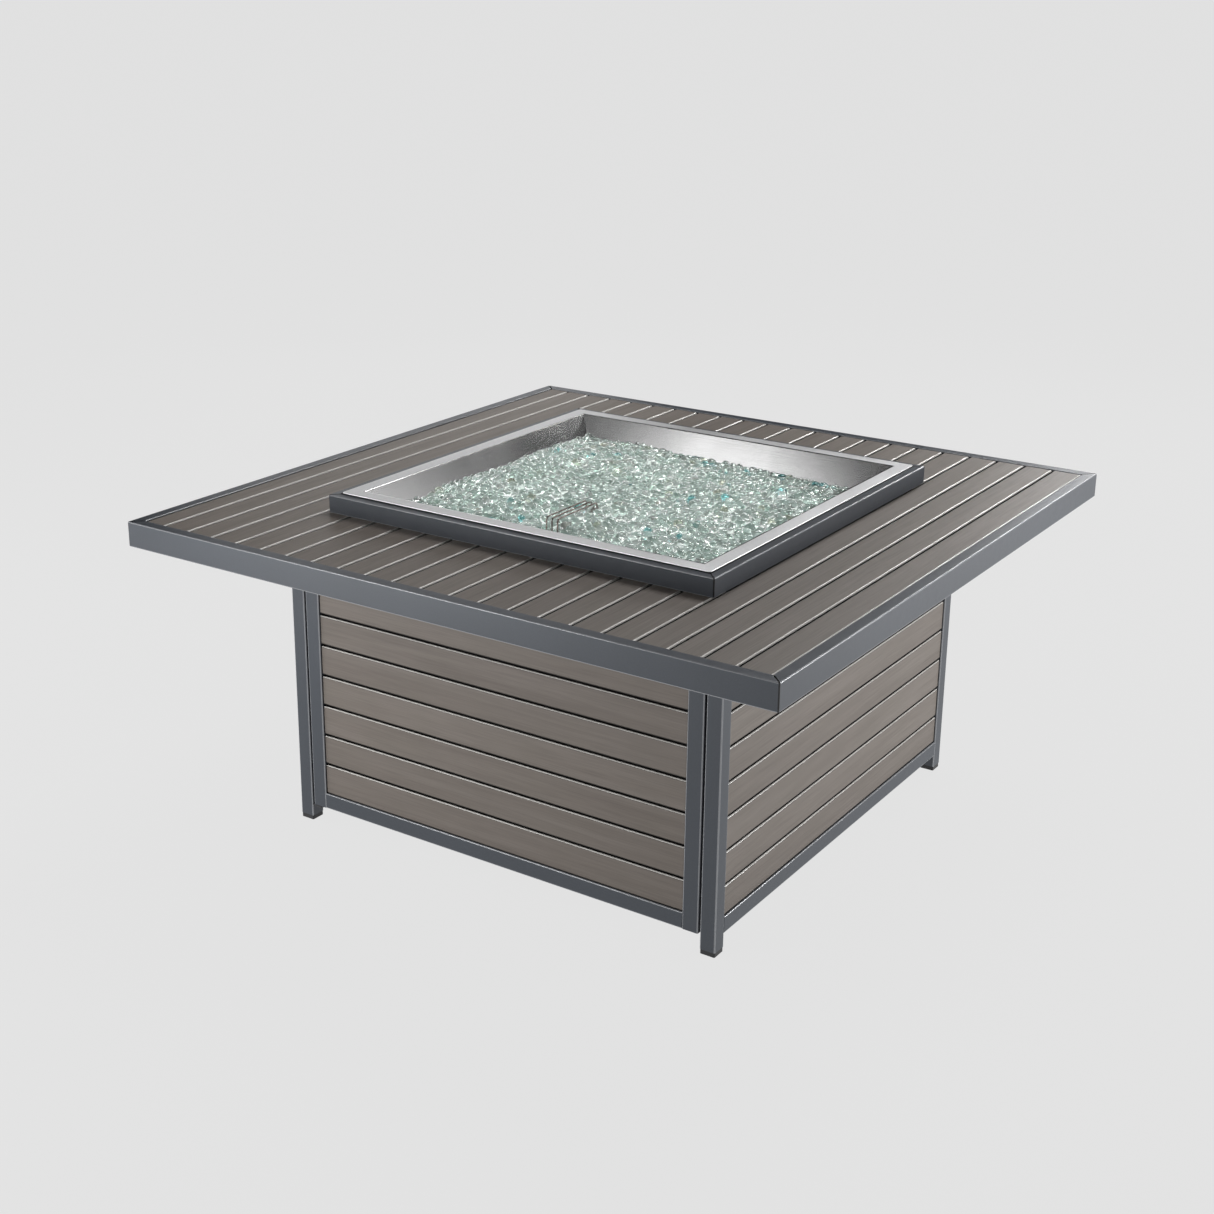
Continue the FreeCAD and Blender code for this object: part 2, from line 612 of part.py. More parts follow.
def wall_slat(x, z, front_y, has_lip):
    """Upright panel slat with rounded edges, and a thin lip behind the gap above it."""
    back_y = front_y + PANEL_SLAT_THICK
    slat = box(x, (front_y, back_y), z)
    slat = rounded(slat, 2 * SLAT_RADIUS, INWARD)
    slat = rounded(slat, SLAT_RADIUS, RIGHTWARD, lambda p: p.y < front_y + 1)
    if not has_lip:
        return slat
    lip = box(x, (back_y - LIP_THICK, back_y), (z[1] - LIP_ROOT, z[1] + SLAT_GAP - LIP_CLEAR))
    return slat.fuse(lip).removeSplitter()


def make_panels():
    """Slats on the right, back and left of the base, with the battens that hold them."""
    front_y = -BASE_HALF + PANEL_RECESS
    slats = []
    low = PANEL_BOTTOM
    gap_middle = PANEL_BOTTOM + PANEL_FIRST
    while gap_middle < TOP_RAIL_BOTTOM:
        slats.append(wall_slat((-LEG_INNER, LEG_INNER), (low, gap_middle - SLAT_GAP / 2), front_y, True))
        low = gap_middle + SLAT_GAP / 2
        gap_middle += PANEL_PITCH
    slats.append(wall_slat((-LEG_INNER, LEG_INNER), (low, TOP_RAIL_BOTTOM), front_y, False))
    panel = Part.makeCompound(slats)

    back_y = front_y + PANEL_SLAT_THICK
    half = BATTEN_WIDTH / 2
    height = (PANEL_BOTTOM, TOP_RAIL_BOTTOM)
    depth = (back_y, -LEG_INNER)
    upright = Part.makeCompound([box((x - half, x + half), depth, height) for x in BATTEN_PLACES])
    for turns, side in ((1, "right"), (2, "back"), (3, "left")):
        save("panel_slats_" + side, turned(panel, turns))
    save("panel_battens", *[turned(upright, turns) for turns in (1, 2, 3)])


def make_door():
    """Framed slatted door, with the strike and magnet of its catch on the right."""
    thick = (DOOR_FACE_Y, DOOR_BACK_Y)
    height = (DOOR_BOTTOM, DOOR_TOP)
    inner_low = DOOR_BOTTOM + DOOR_FRAME
    inner_high = inner_low + DOOR_SLATS * DOOR_PITCH
    save("door_stile_left", tube((-DOOR_HALF, -DOOR_INNER), thick, height, UP))
    save("door_stile_right", tube((DOOR_INNER, DOOR_HALF), thick, height, UP))
    span = (-DOOR_INNER, DOOR_INNER)
    save("door_rail_bottom", tube(span, thick, (DOOR_BOTTOM, inner_low), RIGHTWARD))
    save("door_rail_top", tube(span, thick, (inner_high, DOOR_TOP), RIGHTWARD))

    front_y = DOOR_FACE_Y + PANEL_RECESS
    slats = []
    for i in range(DOOR_SLATS):
        low = inner_low + i * DOOR_PITCH + (SLAT_GAP / 2 if i else 0)
        high = inner_low + (i + 1) * DOOR_PITCH - (SLAT_GAP / 2 if i < DOOR_SLATS - 1 else 0)
        slats.append(wall_slat(span, (low, high), front_y, i < DOOR_SLATS - 1))
    save("door_slats", *slats)
    back_y = front_y + PANEL_SLAT_THICK
    half = BATTEN_WIDTH / 2
    behind = (back_y, back_y + DOOR_BATTEN_THICK)
    battens = [box((x - half, x + half), behind, (inner_low, inner_high)) for x in DOOR_BATTEN_X]
    save("door_battens", *battens)

    catch_x = (CATCH_X - CATCH_WIDTH / 2, CATCH_X + CATCH_WIDTH / 2)
    magnet_front = DOOR_BACK_Y + STRIKE_THICK
    magnet_back = magnet_front + MAGNET_SIZE
    magnet = box(catch_x, (magnet_front, magnet_back), (TOP_RAIL_BOTTOM - MAGNET_SIZE, TOP_RAIL_BOTTOM))
    save("catch_magnet", rounded(magnet, MAGNET_RADIUS, INWARD, lambda p: p.z < TOP_RAIL_BOTTOM - 1))
    strike_top = DOOR_TOP - STRIKE_DROP
    strike = box(catch_x, (DOOR_BACK_Y, magnet_front), (strike_top - STRIKE_HEIGHT, strike_top))
    save("catch_strike", strike)


def make_hinge():
    """Pivot pins on plugs that fill the hinge stile's ends, and the lug that carries the lower one."""
    plug_x = (-DOOR_HALF + TUBE_WALL, -DOOR_INNER - TUBE_WALL)
    plug_y = (DOOR_FACE_Y + TUBE_WALL, DOOR_BACK_Y - TUBE_WALL)
    lug_top = DOOR_BOTTOM - HINGE_COLLAR
    lug_low = lug_top - LUG_THICK
    lower = box(plug_x, plug_y, (DOOR_BOTTOM, DOOR_BOTTOM + PLUG_HEIGHT))
    lower = lower.fuse(rod(PIN_COLLAR_R, PIVOT + UP * (lug_top + PIN_FIT), PIVOT + UP * DOOR_BOTTOM))
    lower = lower.fuse(rod(PIN_R, PIVOT + UP * lug_low, PIVOT + UP * DOOR_BOTTOM))
    upper = box(plug_x, plug_y, (DOOR_TOP - PLUG_HEIGHT, DOOR_TOP))
    upper = upper.fuse(rod(PIN_R, PIVOT + UP * DOOR_TOP, PIVOT + UP * (TOP_RAIL_BOTTOM + 2 * TUBE_WALL)))
    save("hinge_pins", lower, upper)

    lug_y = (DOOR_FACE_Y + LUG_INSET, DOOR_FACE_Y + LUG_SIZE)
    lug = box((-LEG_INNER, PIVOT.x + LUG_SIZE / 2), lug_y, (lug_low, lug_top))
    lug = rounded(lug, LUG_RADIUS, UP, lambda p: p.x > PIVOT.x)
    pin_hole = rod(PIN_R + PIN_FIT, PIVOT + UP * (lug_low - CUT_SPARE), PIVOT + UP * DOOR_BOTTOM)
    save("hinge_lug", lug.cut(pin_hole))


def main():
    os.makedirs("parts", exist_ok=True)
    mitred_frame("edge_rail", TABLE_HALF, EDGE_WIDTH, (TABLE_TOP - EDGE_HEIGHT, TABLE_TOP))
    mitred_frame("curb", CURB_HALF, CURB_WIDTH, (SLAT_TOP, CURB_TOP))
    make_top_slats()
    make_top_supports()
    make_pan()
    make_fire_glass()
    make_burner()
    make_pilot()
    make_pilot_lines()
    make_controls()
    make_igniter_and_inlet()
    make_legs()
    make_base_rails()
    make_panels()
    make_door()
    make_hinge()


main()
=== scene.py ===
import math
import random

import bmesh
import bpy
import numpy as np
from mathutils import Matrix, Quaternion, Vector, kdtree


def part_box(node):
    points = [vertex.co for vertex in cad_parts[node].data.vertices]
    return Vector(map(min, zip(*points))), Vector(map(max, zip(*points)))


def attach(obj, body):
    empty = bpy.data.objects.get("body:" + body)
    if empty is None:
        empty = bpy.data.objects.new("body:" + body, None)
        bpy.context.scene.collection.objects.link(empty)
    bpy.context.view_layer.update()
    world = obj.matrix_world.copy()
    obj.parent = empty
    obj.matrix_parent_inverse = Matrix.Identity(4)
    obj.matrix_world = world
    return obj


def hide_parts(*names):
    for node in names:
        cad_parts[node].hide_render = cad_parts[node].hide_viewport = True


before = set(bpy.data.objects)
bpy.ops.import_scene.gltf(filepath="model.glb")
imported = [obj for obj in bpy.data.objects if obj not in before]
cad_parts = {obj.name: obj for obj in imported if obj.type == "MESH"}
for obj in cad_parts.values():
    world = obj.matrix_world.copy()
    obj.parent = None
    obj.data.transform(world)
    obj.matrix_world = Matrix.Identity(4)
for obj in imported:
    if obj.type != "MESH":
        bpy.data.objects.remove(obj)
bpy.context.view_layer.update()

MM = 0.001
PAN_LOW, PAN_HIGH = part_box("burner_pan")
GLASS_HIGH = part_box("fire_glass")[1]
GUARD_LOW, GUARD_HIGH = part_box("pilot_guard")

# ---- what the frame doesn't state: sizes in metres, sharp angles in degrees, counts, shares and seeds ----
SLAT_PITCH = 56.8 * MM
SLAT_GAP = 4.0 * MM
SLAT_END_GAP = 1.0 * MM
SLAT_RADIUS = 2.8 * MM
WALL_RADIUS = 2.4 * MM
GAP_FROM = 0.9
UPWARD = 0.5
WALL_END_EASE = 2.0 * MM
LIP_THICK = 4.0 * MM
LIP_CLEAR = 0.3 * MM
PANEL_FIRST = 54.5 * MM
PANEL_PITCH = 60.3 * MM
DOOR_PITCH = 58.5 * MM
DOOR_SLATS = 7
DOOR_CLEAR = 0.3 * MM
ARC_STEPS = 4
SHARP_ANGLE = 35
TINY = 1e-6
EASE = 0.7 * MM
EASE_BEND = 0.3
RAIL_RADIUS = 1.8 * MM
MITRE_SEAM = 0.9 * MM
MITRE_EASE = 1.1 * MM
# how far the black seal reaches past the flange, as a band that stands in for the shade under it
GASKET_SHADE_BAND = 1.2 * MM
GASKET_WIDTH = 22.0 * MM
SEAL_ROUND = 0.4
TUBE_RADIUS = 2.0 * MM
TUBE_EASE = 0.4 * MM
PAN_SLOPE = 0.75
PAN_RIM = PAN_HIGH.z
PAN_SHEET = 1.5 * MM
FLANGE_RADIUS = 6.0 * MM
FLANGE_WIDTH = 29.0 * MM
FLANGE_EASE = 0.35
PAN_MOUTH = PAN_HIGH.x - FLANGE_WIDTH
BEND_RADIUS = 2.5 * MM
SEAM = 0.5 * MM
SHEET_EASE = 0.05 * MM
SEAL_EASE = 0.01 * MM
INNER_CORNER = 0.2 * MM
BURNER_HOLE_HALF = 15.0 * MM
WIRE_RADIUS = 1.3 * MM
GLASS_AT_FRONT_LEFT = 599.0 * MM
GLASS_FALL = 17.0 * MM
GLASS_MOUND = 28.0 * MM
GLASS_WAVES = ((1.5 * MM, 31, 17, 1.0), (1.2 * MM, -37, 23, 0.0))
GUARD_HOLLOW = 8.0 * MM
GUARD_HOLLOW_REACH = 45.0 * MM
GUARD_CLEAR = 1.3 * WIRE_RADIUS
BEAD_SEED = 5
BEAD_KINDS = 12
BEAD_DROP = 5.0 * MM
BEAD_NEAR = 4.0 * MM
BEAD_PUSH = 0.4
BEAD_STEP = 2.0 * MM
BEAD_TILT = 0.45
BEAD_JITTER = 0.42
BEAD_RADII = (6.8 * MM, 10.4 * MM)
BEAD_LAYERS = ((16.4 * MM, 0.0), (17.2 * MM, 13.0 * MM))
BEAD_REACH = 1.12
BEAD_LUMP = 0.08
BEAD_FLAT = ((0.92, 1.06), (0.86, 1.0), (0.62, 0.95))
BEAD_ROUNDS = 5
BEAD_PASSES = 7
BEAD_ROWS = 5
BED_SINK = 20.0 * MM
BED_BOTTOM = 70.0 * MM
BED_STEPS = 60
BED_SHARP = 60
TOP_SEED = 11
PANEL_SEED = 20
DOOR_SEED = 31

# ---- what the face attribute "edge" says: painted shade in the gaps and on edges turned from the light, painted highlight on edges turned to it ----
IN_GAP = 0.0
SHADED_EDGE = 0.12
PLAIN_FACE = 0.5
HIGHLIT_EDGE = 1.0

# ---- colours of the beads, each with the share of beads that lies below it ----
PALE_AQUA = (0.90, 0.96, 0.93)
CLEAR = (0.97, 0.98, 0.97)
SEA_GREEN = (0.82, 0.91, 0.87)
OLIVE = (0.84, 0.85, 0.74)
TEAL = (0.38, 0.74, 0.76)
TINT_SHARES = ((0.60, CLEAR), (0.80, SEA_GREEN), (0.955, OLIVE), (0.985, TEAL))
TINT_SPREAD = 0.015

# ---- studio: metres, degrees and watts ----
BACKDROP = 0.776
FLOOR_COLOUR = (0.02, 0.02, 0.02)
FLOOR_GLOW = 0.75
FLOOR_REACH = 150.0
GLASS_SKY = 1.35
LIT_POINT = Vector((0, 0, 0.5))
SOFTBOXES = (
    # name, azimuth, elevation, distance, power, side
    ("softbox_behind", 0, 58, 4.2, 96, 1.8),
    ("softbox_rim", 0, 25, 4.2, 42, 0.8),
    ("softbox_left", 250, 10, 3.0, 58, 1.6),
    ("softbox_right", 85, 14, 2.4, 13, 1.5),
    ("softbox_right_low", 54, 1, 3.4, 62, 0.9),
    ("softbox_right_high", 37, 35, 4.0, 3.4, 0.8),
    ("softbox_back_left", 315, 12, 4.2, 11, 1.8),
    ("softbox_front_left", 207, 2, 2.4, 22, 0.9),
    ("softbox_front_high", 225, 48, 4.2, 4.2, 0.75),
)
CAMERA_PLACE = (1.704133, -2.711341, 1.543216)
CAMERA_AZIMUTH = 34.403
CAMERA_ELEVATION = 18.408
CAMERA_ROLL = 0.234
CAMERA_LENS = 54.04
CAMERA_SENSOR = 36.0
CAMERA_SHIFT = (0.0336, -0.0428)


# ---------------------------------------------------------------- materials

class Surface:
    """A node material built up step by step round one Principled shader."""

    def __init__(self, name, **sockets):
        self.material = bpy.data.materials.new(name)
        self.material.use_nodes = True
        self.tree = self.material.node_tree
        self.shader = self.tree.nodes["Principled BSDF"]
        for key, value in sockets.items():
            self.shader.inputs[key.replace("_", " ")].default_value = value
        self.coordinates = self.tree.nodes.new("ShaderNodeTexCoord")

    def node(self, kind, **settings):
        made = self.tree.nodes.new("ShaderNode" + kind)
        for key, value in settings.items():
            setattr(made, key, value)
        return made

    def link(self, source, target):
        self.tree.links.new(source, target)

    def placed(self, scale):
        """Object coordinates stretched by a scale on each axis."""
        mapping = self.node("Mapping")
        mapping.inputs["Scale"].default_value = scale
        self.link(self.coordinates.outputs["Object"], mapping.inputs["Vector"])
        return mapping.outputs["Vector"]

    def noise(self, scale, stretch=(1, 1, 1), detail=4.0, rough=0.55, shift=None):
        """Noise from 0 to 1; shift is an output that moves it from piece to piece."""
        noise = self.node("TexNoise", noise_dimensions="4D")
        noise.inputs["Scale"].default_value = scale
        noise.inputs["Detail"].default_value = detail
        noise.inputs["Roughness"].default_value = rough
        self.link(self.placed(stretch), noise.inputs["Vector"])
        if shift is not None:
            self.link(shift, noise.inputs["W"])
        return noise.outputs["Fac"]

    def ramp(self, factor, *stops):
        """Colour ramp through (position, colour) stops; a number stands for a grey."""
        ramp = self.node("ValToRGB")
        while len(ramp.color_ramp.elements) < len(stops):
            ramp.color_ramp.elements.new(0.5)
        for element, (place, colour) in zip(ramp.color_ramp.elements, stops):
            element.position = place
            element.color = (*colour, 1) if isinstance(colour, tuple) else (colour,) * 3 + (1,)
        self.link(factor, ramp.inputs["Fac"])
        return ramp.outputs["Color"]

    def attribute(self, name, output="Fac"):
        return self.node("Attribute", attribute_name=name).outputs[output]

    def scaled(self, source, factor):
        made = self.node("Math", operation="MULTIPLY")
        self.link(source, made.inputs[0])
        made.inputs[1].default_value = factor
        return made.outputs["Value"]

    def multiply(self, first, second):
        """Product of two colours."""
        mix = self.node("Mix", data_type="RGBA", blend_type="MULTIPLY")
        mix.inputs["Factor"].default_value = 1.0
        self.link(first, mix.inputs["A"])
        self.link(second, mix.inputs["B"])
        return mix.outputs["Result"]

    def painted_highlight_and_shade(self, colour, highlight_colour, amount, gap_shade):
        """Paints highlights pale on the edges turned to the light and paints shade dark in the gaps and on
        the edges turned away, by the face attribute edge.
        """
        edge = self.attribute("edge")
        mix = self.node("Mix", data_type="RGBA")
        mix.inputs["B"].default_value = (*highlight_colour, 1)
        self.link(self.ramp(edge, (PLAIN_FACE, 0.0), (HIGHLIT_EDGE, amount)), mix.inputs["Factor"])
        self.link(colour, mix.inputs["A"])
        return self.multiply(mix.outputs["Result"], self.ramp(edge, (IN_GAP, gap_shade), (PLAIN_FACE, 1.0)))

    def polished_edges(self, rough, edge_rough):
        """Roughness that drops to a smoother value on the edges that carry the painted highlight."""
        mix = self.node("Mix", data_type="FLOAT")
        mix.inputs["B"].default_value = edge_rough
        highlit = self.ramp(self.attribute("edge"), (PLAIN_FACE, 0.0), (HIGHLIT_EDGE, 1.0))
        self.link(highlit, mix.inputs["Factor"])
        self.link(rough, mix.inputs["A"])
        return mix.outputs["Result"]

    def colour(self, source):
        self.link(source, self.shader.inputs["Base Color"])

    def roughness(self, source):
        self.link(source, self.shader.inputs["Roughness"])

    def bump(self, *layers):
        """Stacks bumps, each (height output, depth in metres)."""
        before = None
        for height, depth in layers:
            bump = self.node("Bump")
            bump.inputs["Strength"].default_value = 1.0
            bump.inputs["Distance"].default_value = depth
            self.link(height, bump.inputs["Height"])
            if before:
                self.link(before, bump.inputs["Normal"])
            before = bump.outputs["Normal"]
        self.link(before, self.shader.inputs["Normal"])


def graphite_coat():
    """Satin powder coat: fine orange peel, a faint flake, a painted highlight paler on its rounded edges, and
    painted shade in the mitre seams.
    """
    s = Surface("graphite_powder_coat", IOR=1.6, Metallic=0.2)
    cloud = s.noise(3.0, detail=2.0)
    flake = s.noise(900.0, detail=1.0)
    base = s.ramp(cloud, (0.3, (0.043, 0.051, 0.064)), (0.7, (0.050, 0.059, 0.074)))
    coat = s.multiply(base, s.ramp(flake, (0.35, 0.86), (0.65, 1.0)))
    # painted highlight pale on the rounded edges, painted shade dark in the mitre seams
    s.colour(s.painted_highlight_and_shade(coat, (0.40, 0.41, 0.43), 0.65, 0.06))
    s.roughness(s.polished_edges(s.ramp(s.noise(60.0), (0.3, 0.36), (0.7, 0.42)), 0.24))
    s.bump((s.noise(420.0, detail=2.0), 0.00006))
    return s.material


def slat_finish(name, along):
    """Taupe composite with a brushed grain along the slat, its own tone on each, pale painted highlights on
    the edges turned to the light, and painted shade on the edges turned away and in the gaps.
    """
    s = Surface(name, IOR=1.48)
    tone = s.attribute("tone")
    shift = s.scaled(tone, 40.0)
    stretch = [1.0, 1.0, 1.0]
    stretch[along] = 0.02
    fine = s.noise(620.0, stretch, detail=3.0, shift=shift)
    stretch[along] = 0.05
    broad = s.noise(60.0, stretch, detail=4.0, shift=shift)
    blotch = s.noise(9.0, detail=2.0, shift=shift)
    dark, middle, pale = (0.150, 0.125, 0.108), (0.178, 0.152, 0.132), (0.205, 0.178, 0.158)
    base = s.ramp(broad, (0.25, dark), (0.5, middle), (0.8, pale))
    base = s.multiply(base, s.ramp(fine, (0.25, 0.78), (0.6, 1.0)))
    base = s.multiply(base, s.ramp(blotch, (0.3, (0.94, 0.95, 0.93)), (0.7, (1.0, 1.0, 1.0))))
    base = s.multiply(base, s.ramp(tone, (0.0, (0.88, 0.87, 0.87)), (1.0, (1.0, 1.0, 1.0))))
    # painted highlight pale on the edges turned to the light, painted shade dark on the edges turned away and
    # in the gaps
    s.colour(s.painted_highlight_and_shade(base, (0.86, 0.84, 0.80), 0.75, 0.05))
    s.roughness(s.polished_edges(s.ramp(fine, (0.3, 0.52), (0.7, 0.44)), 0.26))
    s.bump((fine, 0.00009), (broad, 0.0001))
    return s.material


def brushed_steel(name, stretch, colour, rough):
    """Stainless sheet with a brushed grain along the unstretched axis."""
    s = Surface(name, Metallic=1.0)
    grain = s.noise(700.0, stretch, detail=2.0)
    smear = s.noise(7.0, detail=3.0)
    low = tuple(0.92 * c for c in colour)
    s.colour(s.ramp(grain, (0.3, low), (0.7, colour)))
    s.roughness(s.ramp(smear, (0.3, rough - 0.03), (0.7, rough + 0.03)))
    s.bump((grain, 0.00003))
    return s.material


def bead_glass(name, clearness, shade):
    """Recycled glass, grey-green to pale aqua, with a few teal and olive beads; faint swirls and pits; shade
    darkens its colour as painted shade, for the beads that lie under others.
    """
    s = Surface(name, IOR=1.5, Transmission_Weight=clearness)
    tint = s.attribute("tint", "Color")
    cloud = s.noise(140.0, detail=2.0)
    s.colour(s.multiply(tint, s.ramp(cloud, (0.3, 0.88 * shade), (0.7, shade))))
    s.roughness(s.ramp(cloud, (0.35, 0.01), (0.75, 0.06)))
    s.bump((s.noise(260.0, detail=1.0), 0.00012))
    return s.material


def glass_bed():
    """The glass further down, seen only between the beads on top."""
    s = Surface("glass_bed", IOR=1.45)
    pebble = s.node("TexVoronoi", feature="SMOOTH_F1")
    pebble.inputs["Scale"].default_value = 85.0
    s.link(s.coordinates.outputs["Object"], pebble.inputs["Vector"])
    # painted light and shade: each pebble pale in its middle and dark towards its rim, where it meets the
    # next
    shade = s.ramp(pebble.outputs["Distance"], (0.0, (0.74, 0.82, 0.79)), (0.6, (0.30, 0.37, 0.35)))
    s.colour(shade)
    s.roughness(s.ramp(s.noise(90.0), (0.3, 0.12), (0.7, 0.3)))
    s.bump((pebble.outputs["Distance"], -0.004))
    return s.material


def plain_metal(name, colour, rough, mottling=0.12, metallic=1.0):
    """Turned, drawn or plated metal with light handling marks."""
    s = Surface(name, Metallic=metallic)
    marks = s.noise(240.0, detail=3.0)
    low = tuple((1 - mottling) * c for c in colour)
    s.colour(s.ramp(marks, (0.3, low), (0.7, colour)))
    s.roughness(s.ramp(s.noise(45.0), (0.3, rough - 0.06), (0.7, rough + 0.06)))
    s.bump((marks, 0.00003))
    return s.material


def moulded_plastic(name, colour, rough):
    """Moulded black plastic or rubber with a fine spark-eroded texture."""
    s = Surface(name, IOR=1.46)
    texture = s.noise(1400.0, detail=1.0)
    wear = s.noise(30.0, detail=4.0)
    s.colour(s.ramp(wear, (0.3, colour), (0.75, tuple(1.5 * c for c in colour))))
    s.roughness(s.ramp(wear, (0.3, rough), (0.7, rough + 0.08)))
    s.bump((texture, 0.00004))
    return s.material


def studio_floor():
    """A pale sheet lit from below, so that it stays even."""
    s = Surface("studio_floor", Roughness=0.9, Specular_IOR_Level=0.0, Emission_Strength=FLOOR_GLOW)
    s.shader.inputs["Base Color"].default_value = (*FLOOR_COLOUR, 1)
    s.shader.inputs["Emission Color"].default_value = (1, 1, 1, 1)
    return s.material


GRAPHITE = graphite_coat()
SLATS_ALONG_X = slat_finish("slats_along_x", 0)
SLATS_ALONG_Y = slat_finish("slats_along_y", 1)
STEEL_X = brushed_steel("pan_steel_x", (0.02, 1, 1), (0.66, 0.66, 0.66), 0.19)
STEEL_Y = brushed_steel("pan_steel_y", (1, 0.02, 1), (0.66, 0.66, 0.66), 0.21)
STEEL_FLANGE = brushed_steel("flange_steel", (0.3, 0.3, 1), (0.78, 0.78, 0.79), 0.42)
BEADS = bead_glass("bead_glass", 0.92, 1.0)
# the beads under the top ones: the same glass, less clear and darkened to 0.70 as painted shade
DEEP_BEADS = bead_glass("bead_glass_deep", 0.40, 0.70)
BED = glass_bed()
BURNER_STEEL = plain_metal("burner_stainless", (0.56, 0.54, 0.52), 0.33)
WIRE_STEEL = plain_metal("heat_tinted_wire", (0.27, 0.21, 0.19), 0.27, 0.35)
BRASS = plain_metal("machined_brass", (0.70, 0.52, 0.24), 0.28)
ALUMINIUM = plain_metal("drawn_aluminium", (0.75, 0.76, 0.78), 0.32)
HIDDEN_STEEL = plain_metal("black_painted_steel", (0.030, 0.030, 0.033), 0.5, 0.3, 0.0)
ZINC = plain_metal("zinc_plated_steel", (0.62, 0.61, 0.58), 0.35, 0.2)
BLACK_PLASTIC = moulded_plastic("black_nylon", (0.016, 0.016, 0.017), 0.42)
RUBBER = moulded_plastic("gasket_rubber", (0.010, 0.010, 0.010), 0.7)


# ---------------------------------------------------------------- mesh tools

def arc_outline(corners, radii):
    """Closed section through the corners (counter-clockwise), each rounded by its own radius."""
    points = []
    count = len(corners)
    for i, (corner, radius) in enumerate(zip(corners, radii)):
        here = Vector(corner)
        if not radius:
            points.append(here)
            continue
        into = (here - Vector(corners[i - 1])).normalized()
        out = (Vector(corners[(i + 1) % count]) - here).normalized()
        turn = into.angle(out)
        back = radius * math.tan(turn / 2)
        side = Vector((-into.y, into.x))
        if side.dot(out) < 0:
            side = -side
        centre = here - into * back + side * radius
        start = (here - into * back) - centre
        spin = math.copysign(turn, into.x * out.y - into.y * out.x)
        for k in range(ARC_STEPS + 1):
            a = spin * k / ARC_STEPS
            points.append(centre + Vector((
                start.x * math.cos(a) - start.y * math.sin(a),
                start.x * math.sin(a) + start.y * math.cos(a),
            )))
    return points


def inset(points, distance):
    """The section moved inward by a distance, corner by corner."""
    moved = []
    count = len(points)
    for i, point in enumerate(points):
        before = (point - points[i - 1]).normalized()
        after = (points[(i + 1) % count] - point).normalized()
        normal = Vector((-before.y, before.x)) + Vector((-after.y, after.x))
        normal.normalize()
        reach = distance / max(0.5, normal.dot(Vector((-before.y, before.x))))
        moved.append(point + normal * reach)
    return moved


class Shells:
    """Collects closed shells for one mesh, each with a tone of its own."""

    def __init__(self):
        self.points = []
        self.faces = []
        self.tones = []
        self.edges = []

    def bar(self, section, low, high, place, tone=0.5, ease=EASE, in_gap=None, highlit=None, seamed=False):
        """Bar of a section between two ends; low and high are numbers or functions of a section point.

        in_gap tells whether a point of the section lies in a gap, whose faces get painted shade; the next
        argument tells which rounded edges, by the way they face, get a painted highlight (all do without it),
        the others painted shade; seamed paints shade on the mitre's ends.
        """
        start = len(self.points)
        steps = ((0.0, ease), (EASE_BEND * ease, EASE_BEND * ease), (ease, 0.0))
        rings = [(low, +1, t, e) for t, e in steps] + [(high, -1, t, e) for t, e in reversed(steps)]
        for end, sign, travel, pulled in rings:
            outline = inset(section, pulled) if pulled else section
            for full, point in zip(section, outline):
                along = end(full) if callable(end) else end
                self.points.append(place(along + sign * travel, point.x, point.y))
        n = len(section)
        count = len(rings)
        sides = []
        for r in range(count - 1):
            at_end = r != len(steps) - 1
            for i in range(n):
                j = (i + 1) % n
                here, after = start + r * n, start + (r + 1) * n
                sides.append((here + i, here + j, after + j, after + i))
                run = section[j] - section[i]
                # faces in a gap, and the ends in a mitre's seam, get painted shade
                gap = seamed and at_end or in_gap and in_gap((section[i] + section[j]) / 2)
                if gap:
                    self.edges.append(IN_GAP)
                elif min(abs(run.x), abs(run.y)) < TINY:
                    self.edges.append(PLAIN_FACE)
                else:
                    facing = Vector((run.y, -run.x)).normalized()
                    # rounded edges turned to the light get a painted highlight, the others painted shade
                    self.edges.append(HIGHLIT_EDGE if highlit is None or highlit(facing) else SHADED_EDGE)
        sides.append(tuple(start + i for i in reversed(range(n))))
        sides.append(tuple(start + (count - 1) * n + i for i in range(n)))
        self.edges += [IN_GAP if seamed else PLAIN_FACE] * 2
        self.faces += sides
        self.tones += [tone] * len(sides)

    def piece(self, name, material, body, slot, *replaced):
        mesh = bpy.data.meshes.new(name)
        mesh.from_pydata([tuple(p) for p in self.points], [], self.faces)
        tones = mesh.attributes.new("tone", "FLOAT", "FACE")
        tones.data.foreach_set("value", self.tones)
        edges = mesh.attributes.new("edge", "FLOAT", "FACE")
        edges.data.foreach_set("value", self.edges)
        finish_piece(name, mesh, material, body, slot, *replaced)


def finish_piece(name, mesh, material, body, slot, *replaced, sharp=SHARP_ANGLE):
    """Turns a mesh into a shaded piece that rides on a body in place of CAD nodes."""
    work = bmesh.new()
    work.from_mesh(mesh)
    bmesh.ops.recalc_face_normals(work, faces=work.faces)
    work.to_mesh(mesh)
    work.free()
    mesh.materials.append(material)
    mesh.polygons.foreach_set("use_smooth", [True] * len(mesh.polygons))
    mesh.set_sharp_from_angle(angle=math.radians(sharp))
    piece = bpy.data.objects.new(name, mesh)
    bpy.context.scene.collection.objects.link(piece)
    weighted = piece.modifiers.new("weighted_normals", "WEIGHTED_NORMAL")
    weighted.keep_sharp = True
    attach(piece, body)
    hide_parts(*replaced)


def along_x(a, b, c):
    return (a, b, c)


def along_y(a, b, c):
    return (b, a, c)


def along_z(a, b, c):
    return (b, c, a)


def turned(place, quarter_turns):
    """The same placing, turned about the upright centre line."""
    cosine = round(math.cos(quarter_turns * math.pi / 2))
    sine = round(math.sin(quarter_turns * math.pi / 2))

    def turn(a, b, c):
        x, y, z = place(a, b, c)
        return (cosine * x - sine * y, sine * x + cosine * y, z)

    return turn


